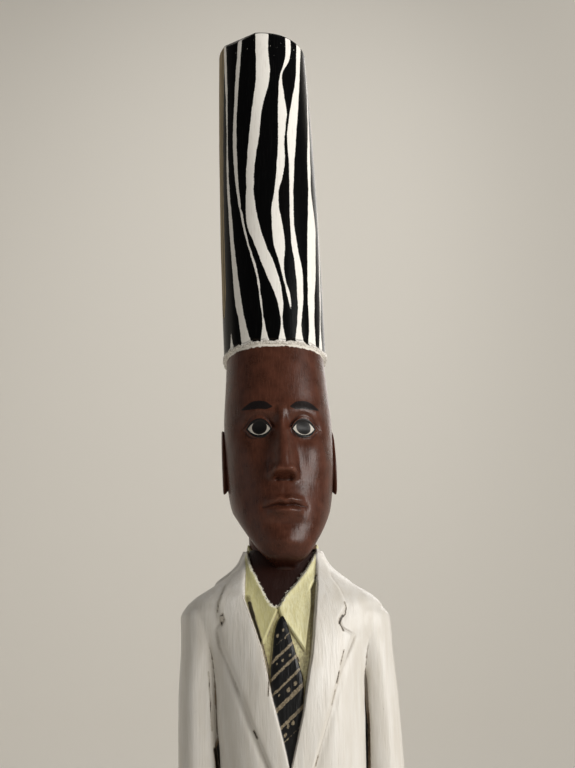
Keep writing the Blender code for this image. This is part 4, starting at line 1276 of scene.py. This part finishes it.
BLACK = (0.0018, 0.0018, 0.0020)
WHITE = (0.94, 0.915, 0.865)
CREAM = (0.77, 0.745, 0.700)
CREAM_SHADE = (0.70, 0.665, 0.605)
SHIRT = (0.90, 0.865, 0.560)
# The dark of the cracks, also used for the dirt and painted shade in the hat's hollows
CRACK_AND_SHADE = (0.030, 0.022, 0.015)
SEEN = (0.50, 0.465, 0.405)  # the surroundings, as the camera sees them

# Where the stage starts and ends its fade into the surroundings
FADE_ASIDE = (0.7, 2.0)
FADE_NEAR = (-0.6, -1.8)
FADE_HIGH = (4.1, 5.0)


def hat_paint():
    """Black paint with white stripes brushed up it, and wood left bare down one side."""
    paint = Paint("hat_paint")
    step, mix, shift, attribute = paint.step, paint.mix, paint.shift, paint.attribute
    streaks = paint.noise((0.0009, 0.0009, 0.016), 4.0, 0.6)
    wander = paint.noise((0.0035, 0.0035, 0.012), 3.0, 0.55, 3.0)
    fine = paint.noise(0.0011, 2.0, 0.5, 7.0)
    blotch = paint.noise((0.012, 0.012, 0.030), 3.0, 0.5, 11.0)
    grain = paint.noise((0.0007, 0.0007, 0.030), 5.0, 0.65, 5.0)
    black = mix(step(streaks, 0.50, 0.80), BLACK, (0.0055, 0.0052, 0.0052))
    paint.colour = black
    bare = step(shift(attribute("bare"), wander, 2.4), -0.25, 0.25)
    paint.coat(bare, mix(step(grain, 0.3, 0.7), (0.190, 0.148, 0.088), (0.440, 0.355, 0.230)))
    lines = paint.times(step(attribute("bare"), 2.2, 2.9), step(attribute("bare"), 3.9, 3.3))
    paint.coat(lines, BLACK, 0.75)
    white = step(shift(shift(attribute("stripe"), wander, 1.7), fine, 0.7), -0.18, 0.18)
    worn = mix(step(streaks, 0.24, 0.48), (0.80, 0.77, 0.71), WHITE)
    worn = mix(paint.times(step(blotch, 0.62, 0.80), 0.22), worn, (0.56, 0.53, 0.47))
    paint.coat(white, worn)
    specks = step(paint.noise(0.0016, 2.0, 0.5, 31.0), 0.70, 0.74)
    paint.coat(paint.times(specks, step(attribute("height"), 0.90, 0.965)), (0.55, 0.53, 0.48), 0.8)
    paint.coat(attribute("top"), black, 0.9)
    rim = shift(attribute("rim"), paint.noise((0.0042, 0.0042, 0.010), 4.0, 0.6, 15.0), 5.0)
    paint.coat(step(rim, -0.3, 0.3), mix(step(fine, 0.35, 0.7), (0.50, 0.46, 0.41), (0.88, 0.85, 0.79)))
    # Dark in the hollows, as dirt and as painted shade.
    paint.coat(step(attribute("hollow"), 0.05, 0.30), CRACK_AND_SHADE, 0.6)
    rough = paint.plus(paint.blend(bare, paint.blend(white, 0.20, 0.34), 0.62), (fine, 0.10))
    return paint.finish(rough, paint.plus((streaks, 0.5), (white, 0.9), (grain, 0.35)), 0.00012, 1.25, 0.2)


def skin_paint(name, on_head):
    """Glossy brown paint, darker in the hollows as dirt and painted shade; the face also has its brows and eyes
    painted on, and painted shade under the jaw.
    """
    paint = Paint(name)
    step, mix, shift, attribute = paint.step, paint.mix, paint.shift, paint.attribute
    streaks = paint.noise((0.0011, 0.0011, 0.010), 4.0, 0.6)
    blotch = paint.noise(0.011, 3.0, 0.55, 3.0)
    speck = paint.noise(0.0007, 2.0, 0.6, 9.0)
    hollow = attribute("hollow")
    paint.colour = mix(step(blotch, 0.30, 0.72), (0.052, 0.0165, 0.0090), (0.088, 0.0290, 0.0165))
    paint.coat(step(streaks, 0.42, 0.80), (0.135, 0.052, 0.031), 0.45)
    # Darker in the hollows, as dirt and as painted shade.
    paint.coat(step(hollow, 0.04, 0.34), (0.040, 0.012, 0.007))
    paint.coat(step(paint.times(hollow, -1.0), 0.10, 0.45), (0.175, 0.066, 0.040), 0.35)
    paint.coat(step(speck, 0.70, 0.80), (0.30, 0.19, 0.13), 0.22)
    rough = paint.plus((blotch, 0.20), 0.20)
    height = paint.plus((streaks, 0.9), (speck, 0.35))
    if on_head:
        # The neck below the chin painted near black, as painted shade under the jaw.
        paint.coat(step(attribute("under"), 0.0, 18.0), (0.015, 0.0032, 0.0014), 0.90)
        splashed = shift(attribute("rim"), paint.noise((0.0032, 0.0032, 0.0060), 5.0, 0.7, 35.0), 5.0)
        paint.coat(step(splashed, -0.25, 0.25), (0.78, 0.74, 0.67))
        wander = paint.noise(0.0016, 3.0, 0.6, 5.0)
        brow = step(shift(attribute("brow"), streaks, 0.9), -0.20, 0.30)
        paint.coat(brow, (0.0060, 0.0055, 0.0060), 0.93)
        socket = step(shift(attribute("eye"), wander, 0.5), -1.25, -0.95)
        paint.coat(socket, (0.0045, 0.0042, 0.0045))
        white = step(shift(attribute("eye"), wander, 0.3), 0.55, 0.80)
        paint.coat(white, mix(step(blotch, 0.3, 0.7), (0.46, 0.43, 0.38), (0.58, 0.55, 0.49)))
        iris = step(attribute("iris"), -0.15, 0.15)
        ring_share = step(attribute("iris"), 1.2, 0.5)
        iris_colour = mix(ring_share, (0.0040, 0.0035, 0.0035), (0.016, 0.012, 0.011))
        paint.coat(paint.times(iris, socket), iris_colour)
        rough = paint.blend(socket, rough, 0.42)
        height = paint.times(height, paint.math("SUBTRACT", 1.0, socket))
    return paint.finish(rough, height, 0.00020, 1.32)


def cloth_paint(name, on_chest_too):
    """Thick glossy off-white enamel over wood; the chest also has its shirt, tie, cracks and chips."""
    paint = Paint(name)
    step, mix, shift = paint.step, paint.mix, paint.shift
    brush = paint.noise((0.0012, 0.0012, 0.020), 4.0, 0.6)
    broad = paint.noise((0.006, 0.006, 0.045), 3.0, 0.5, 3.0)
    blotch = paint.noise(0.020, 3.0, 0.5, 7.0)
    fine = paint.noise(0.0010, 3.0, 0.6, 9.0)
    grain = paint.noise((0.0006, 0.0006, 0.020), 4.0, 0.65, 13.0)
    hollow = paint.attribute("hollow")
    paint.colour = mix(step(broad, 0.30, 0.72), CREAM_SHADE, CREAM)
    paint.coat(step(brush, 0.50, 0.30), (0.54, 0.49, 0.41), 0.14)
    paint.coat(step(blotch, 0.58, 0.74), (0.64, 0.59, 0.50), 0.22)
    # Darker in the hollows, as dirt and as painted shade.
    grime_and_shade = step(shift(hollow, fine, 0.16), 0.10, 0.46)
    paint.coat(grime_and_shade, (0.140, 0.100, 0.066), 0.70)
    chips = step(paint.noise((0.0022, 0.0022, 0.0040), 3.0, 0.6, 17.0), 0.755, 0.775)
    edge_wear = step(shift(paint.times(hollow, -1.0), fine, 0.5), 0.62, 0.80)
    chips = paint.math("MAXIMUM", chips, paint.times(edge_wear, 0.5))
    paint.coat(chips, mix(grain, (0.055, 0.036, 0.022), (0.20, 0.145, 0.092)), 0.8)
    rough = paint.plus((blotch, 0.22), 0.22)
    height = paint.plus(brush, (broad, 1.4))
    if on_chest_too:
        rough, height = add_chest_colours(paint, brush, broad, fine, grime_and_shade, rough, height)
    return paint.finish(rough, height, 0.00026, 1.42)


def add_chest_colours(paint, brush, broad, fine, grime_and_shade, rough, height):
    """The suit's arm gaps in painted shadow, shirt and neck with painted shade, tie and cracks; gives the roughness
    and height with them.
    """
    step, mix, shift, attribute = paint.step, paint.mix, paint.shift, paint.attribute
    wander = paint.noise((0.0016, 0.0016, 0.0022), 3.0, 0.6, 19.0)
    # The gap by the arms: bare brown wood at its edges, then painted shadow, near black, in its middle.
    slot_wood_and_shadow = shift(attribute("slot_wood_and_shadow"), wander, 1.1)
    paint.coat(step(slot_wood_and_shadow, -0.5, 0.1), (0.30, 0.225, 0.150))
    paint.coat(step(slot_wood_and_shadow, 0.1, 0.55), (0.012, 0.009, 0.007))

    x = paint.node("ShaderNodeSeparateXYZ", {0: paint.place}).outputs[0]
    yellow = mix(step(brush, 0.35, 0.65), (0.80, 0.745, 0.410), SHIRT)
    yellow = mix(paint.times(step(broad, 0.42, 0.68), 0.30), yellow, (0.56, 0.52, 0.29))
    # On the viewer's left the shirt is painted darker and greener, as painted shade.
    shaded = mix(0.62, yellow, (0.36, 0.335, 0.135))
    yellow = mix(step(x, -0.012, -0.005), shaded, yellow)
    # Off the collar wings, in the gaps by the lapels, the shirt is painted brown as painted shade, and darker still
    # in its hollows with dirt and painted shade.
    off_wing_shade = step(attribute("wing"), 0.2, -1.0)
    yellow = mix(paint.times(paint.times(off_wing_shade, step(wander, 0.30, 0.70)), 0.60), yellow, (0.29, 0.225, 0.125))
    yellow = mix(paint.times(grime_and_shade, paint.blend(off_wing_shade, 0.22, 0.60)), yellow, (0.090, 0.055, 0.028))
    shirt = step(shift(attribute("shirt"), wander, 0.6), 0.15, 0.55)
    paint.coat(shirt, yellow)

    skin = shift(attribute("skin"), paint.noise(0.0016, 4.0, 0.70, 27.0), 8.0)
    rim = paint.times(step(skin, -1.9, -0.9), shirt)
    paint.coat(rim, (0.88, 0.86, 0.76), 0.8)
    dots = step(paint.noise(0.0011, 2.0, 0.5, 29.0), 0.66, 0.70)
    paint.coat(paint.times(dots, rim), (0.05, 0.03, 0.018))
    # The neck where it shows between the collar wings, painted near black as painted shade under the jaw.
    shaded_neck = paint.times(step(skin, -0.15, 0.15), shirt)
    paint.coat(shaded_neck, (0.017, 0.0038, 0.0018))

    cloth = mix(step(brush, 0.55, 0.8), (0.0025, 0.0025, 0.0030), (0.012, 0.012, 0.014))
    gold = shift(shift(attribute("gold"), paint.noise(0.0030, 2.0, 0.5, 33.0), 1.5), fine, 1.0)
    gold_colour = mix(step(fine, 0.35, 0.70), (0.15, 0.12, 0.078), (0.36, 0.30, 0.205))
    tie = step(shift(attribute("tie"), wander, 0.5), -0.15, 0.20)
    paint.coat(tie, mix(step(gold, -0.15, 0.25), cloth, gold_colour))

    crack = shift(attribute("crack"), fine, 0.7)
    paint.coat(step(crack, -0.75, -0.25), (0.30, 0.245, 0.175), 0.55)
    crack = step(crack, -0.12, 0.14)
    paint.coat(crack, CRACK_AND_SHADE, 0.92)
    return paint.blend(shaded_neck, rough, 0.42), paint.plus(height, (crack, -5.0))


def shoe_paint():
    """Thick black gloss, worn to the wood on its highest edges."""
    paint = Paint("shoe_paint")
    brush = paint.noise((0.0014, 0.010, 0.0014), 4.0, 0.6)
    blotch = paint.noise(0.010, 3.0, 0.5, 3.0)
    fine = paint.noise(0.0009, 3.0, 0.6, 5.0)
    hollow = paint.attribute("hollow")
    paint.colour = paint.mix(paint.step(brush, 0.4, 0.75), BLACK, (0.014, 0.0125, 0.012))
    wear = paint.step(paint.shift(paint.times(hollow, -1.0), fine, 0.35), 0.36, 0.50)
    paint.coat(wear, (0.085, 0.052, 0.030), 0.6)
    paint.coat(paint.step(hollow, 0.08, 0.40), (0.060, 0.048, 0.036), 0.35)
    return paint.finish(paint.plus((blotch, 0.24), 0.16), paint.plus(brush, (fine, 0.3)), 0.00012)


def base_wood():
    """Dark stained wood, its grain running across the block, with rubbed edges."""
    paint = Paint("base_wood")
    wander = paint.noise((0.060, 0.020, 0.020), 2.0, 0.5, 3.0)
    bands = paint.noise((0.070, 0.0026, 0.0026), 4.0, 0.6, 5.0)
    pores = paint.step(paint.noise((0.012, 0.0005, 0.0005), 3.0, 0.65, 9.0), 0.60, 0.75)
    blotch = paint.noise(0.030, 3.0, 0.5, 13.0)
    fine = paint.noise(0.0012, 3.0, 0.6, 17.0)
    hollow = paint.attribute("hollow")
    grain = paint.shift(bands, wander, 0.5)
    paint.colour = paint.mix(paint.step(grain, 0.25, 0.75), (0.030, 0.015, 0.009), (0.095, 0.048, 0.026))
    paint.coat(pores, (0.012, 0.007, 0.005), 0.7)
    paint.coat(paint.step(blotch, 0.5, 0.8), (0.125, 0.070, 0.040), 0.4)
    rubbed = paint.step(paint.shift(paint.times(hollow, -1.0), fine, 0.4), 0.28, 0.50)
    paint.coat(rubbed, (0.215, 0.140, 0.085), 0.6)
    # Darker in the hollows, as dirt and as painted shade.
    paint.coat(paint.step(hollow, 0.05, 0.30), (0.012, 0.008, 0.006), 0.6)
    return paint.finish(paint.plus((grain, 0.22), 0.34), paint.plus(grain, (pores, -0.8)), 0.00018)


def stage_material():
    """A plain matt floor and wall, which fade into the colour of the surroundings far to the sides."""
    paint = Paint("stage")
    x, y, z = paint.node("ShaderNodeSeparateXYZ", {0: paint.place}).outputs
    far = paint.step(paint.math("ABSOLUTE", x), *FADE_ASIDE)
    for place, limits in ((y, FADE_NEAR), (z, FADE_HIGH)):
        far = paint.math("MAXIMUM", far, paint.step(place, *limits))
    paint.put(paint.mix(far, (0.88, 0.845, 0.780), (0.0, 0.0, 0.0)), paint.shader.inputs["Base Color"])
    paint.put(far, paint.shader.inputs["Emission Strength"])
    paint.put((*SEEN, 1.0), paint.shader.inputs["Emission Color"])
    paint.put(0.9, paint.shader.inputs["Roughness"])
    return paint.material


# The studio and the camera


def make_stage():
    """A pale floor that sweeps up into a wall well behind the figure."""
    half_width, near, far, height, curve = 9.0, -9.0, 3.4, 6.0, 0.8
    profile = [(near, 0.0), (far - curve, 0.0)]
    for turn in np.linspace(0.1, 0.5 * math.pi, 14):
        profile.append((far - curve + curve * math.sin(turn), curve * (1.0 - math.cos(turn))))
    profile.append((far, height))
    points = [(side * half_width, y, z) for y, z in profile for side in (-1.0, 1.0)]
    faces = [(2 * n, 2 * n + 1, 2 * n + 3, 2 * n + 2) for n in range(len(profile) - 1)]
    data = bpy.data.meshes.new("sweep")
    data.from_pydata(points, [], faces)
    data.polygons.foreach_set("use_smooth", [True] * len(data.polygons))
    data.materials.append(stage_material())
    show("sweep", data)


def make_world():
    """A weak even light from all round, which the camera sees as a pale ground."""
    world = bpy.data.worlds.new("studio")
    world.use_nodes = True
    nodes, links = world.node_tree.nodes, world.node_tree.links
    ambient = nodes["Background"]
    ambient.inputs["Color"].default_value = (1.0, 0.975, 0.93, 1.0)
    ambient.inputs["Strength"].default_value = 0.13
    seen = nodes.new("ShaderNodeBackground")
    seen.inputs["Color"].default_value = (*SEEN, 1.0)
    either = nodes.new("ShaderNodeMixShader")
    links.new(nodes.new("ShaderNodeLightPath").outputs["Is Camera Ray"], either.inputs[0])
    links.new(ambient.outputs[0], either.inputs[1])
    links.new(seen.outputs[0], either.inputs[2])
    links.new(either.outputs[0], nodes["World Output"].inputs[0])
    bpy.context.scene.world = world


def place_matrix(right, up, ahead, place):
    """The matrix of a lamp or camera that stands at a place and looks ahead."""
    rows = [(right[n], up[n], -ahead[n], place[n]) for n in range(3)]
    return Matrix((*rows, (0.0, 0.0, 0.0, 1.0)))


def make_light(name, place, target, size, power, colour, spread):
    """A round soft light at a place, turned to a target, its beam so many degrees wide."""
    light = bpy.data.lights.new(name, "AREA")
    light.shape = "DISK"
    light.size = size
    light.energy = power
    light.color = colour
    light.spread = math.radians(spread)
    aim = np.array(target) - np.array(place)
    aim = aim / np.linalg.norm(aim)
    right = np.cross(aim, (0.0, 0.0, 1.0))
    right /= np.linalg.norm(right)
    show(name, light).matrix_world = place_matrix(right, np.cross(right, aim), aim, place)


def make_camera():
    """The camera below the chin, looking up at the head and hat."""
    data = bpy.data.cameras.new("camera")
    data.sensor_fit = "VERTICAL"
    data.sensor_height = 24.0
    data.lens = FOCAL_PIXELS / IMAGE_HEIGHT * data.sensor_height
    data.clip_start = 0.02
    level = math.cos(CAMERA_PITCH)
    ahead = np.array((math.sin(CAMERA_HEADING) * level, math.cos(CAMERA_HEADING) * level, math.sin(CAMERA_PITCH)))
    right = np.array((math.cos(CAMERA_HEADING), -math.sin(CAMERA_HEADING), 0.0))
    up = np.cross(right, ahead)
    turn, rise = math.cos(CAMERA_ROLL), math.sin(CAMERA_ROLL)
    made = show("camera", data)
    made.matrix_world = place_matrix(right * turn - up * rise, up * turn + right * rise, ahead, CAMERA_PLACE)
    bpy.context.scene.camera = made


make_camera()
make_stage()
make_world()
make_light("key", (1.70, -1.40, 1.15), (0.0, 0.0, 0.85), 1.3, 19.7, (1.0, 0.975, 0.94), 120.0)
make_light("fill", (-2.1, -0.5, 0.9), (0.0, 0.0, 0.75), 1.6, 2.0, (0.94, 0.97, 1.0), 180.0)
make_light("back", (0.9, 1.6, 1.9), (0.0, 0.0, 0.8), 1.2, 6.0, (1.0, 0.98, 0.95), 180.0)
make_light("wash", (0.8, 0.6, 4.2), (0.2, 3.4, 1.7), 3.0, 22.5, (1.0, 0.985, 0.96), 100.0)
bpy.context.scene.view_settings.view_transform = "Standard"

make_hat(hat_paint())
make_head(skin_paint("face_paint", True))
make_suit(cloth_paint("suit_paint", True))
make_hands(skin_paint("hand_paint", False))
make_cuffs(cloth_paint("cuff_paint", False))
make_trousers(cloth_paint("trouser_paint", False))
make_shoes(shoe_paint())
make_base(base_wood())
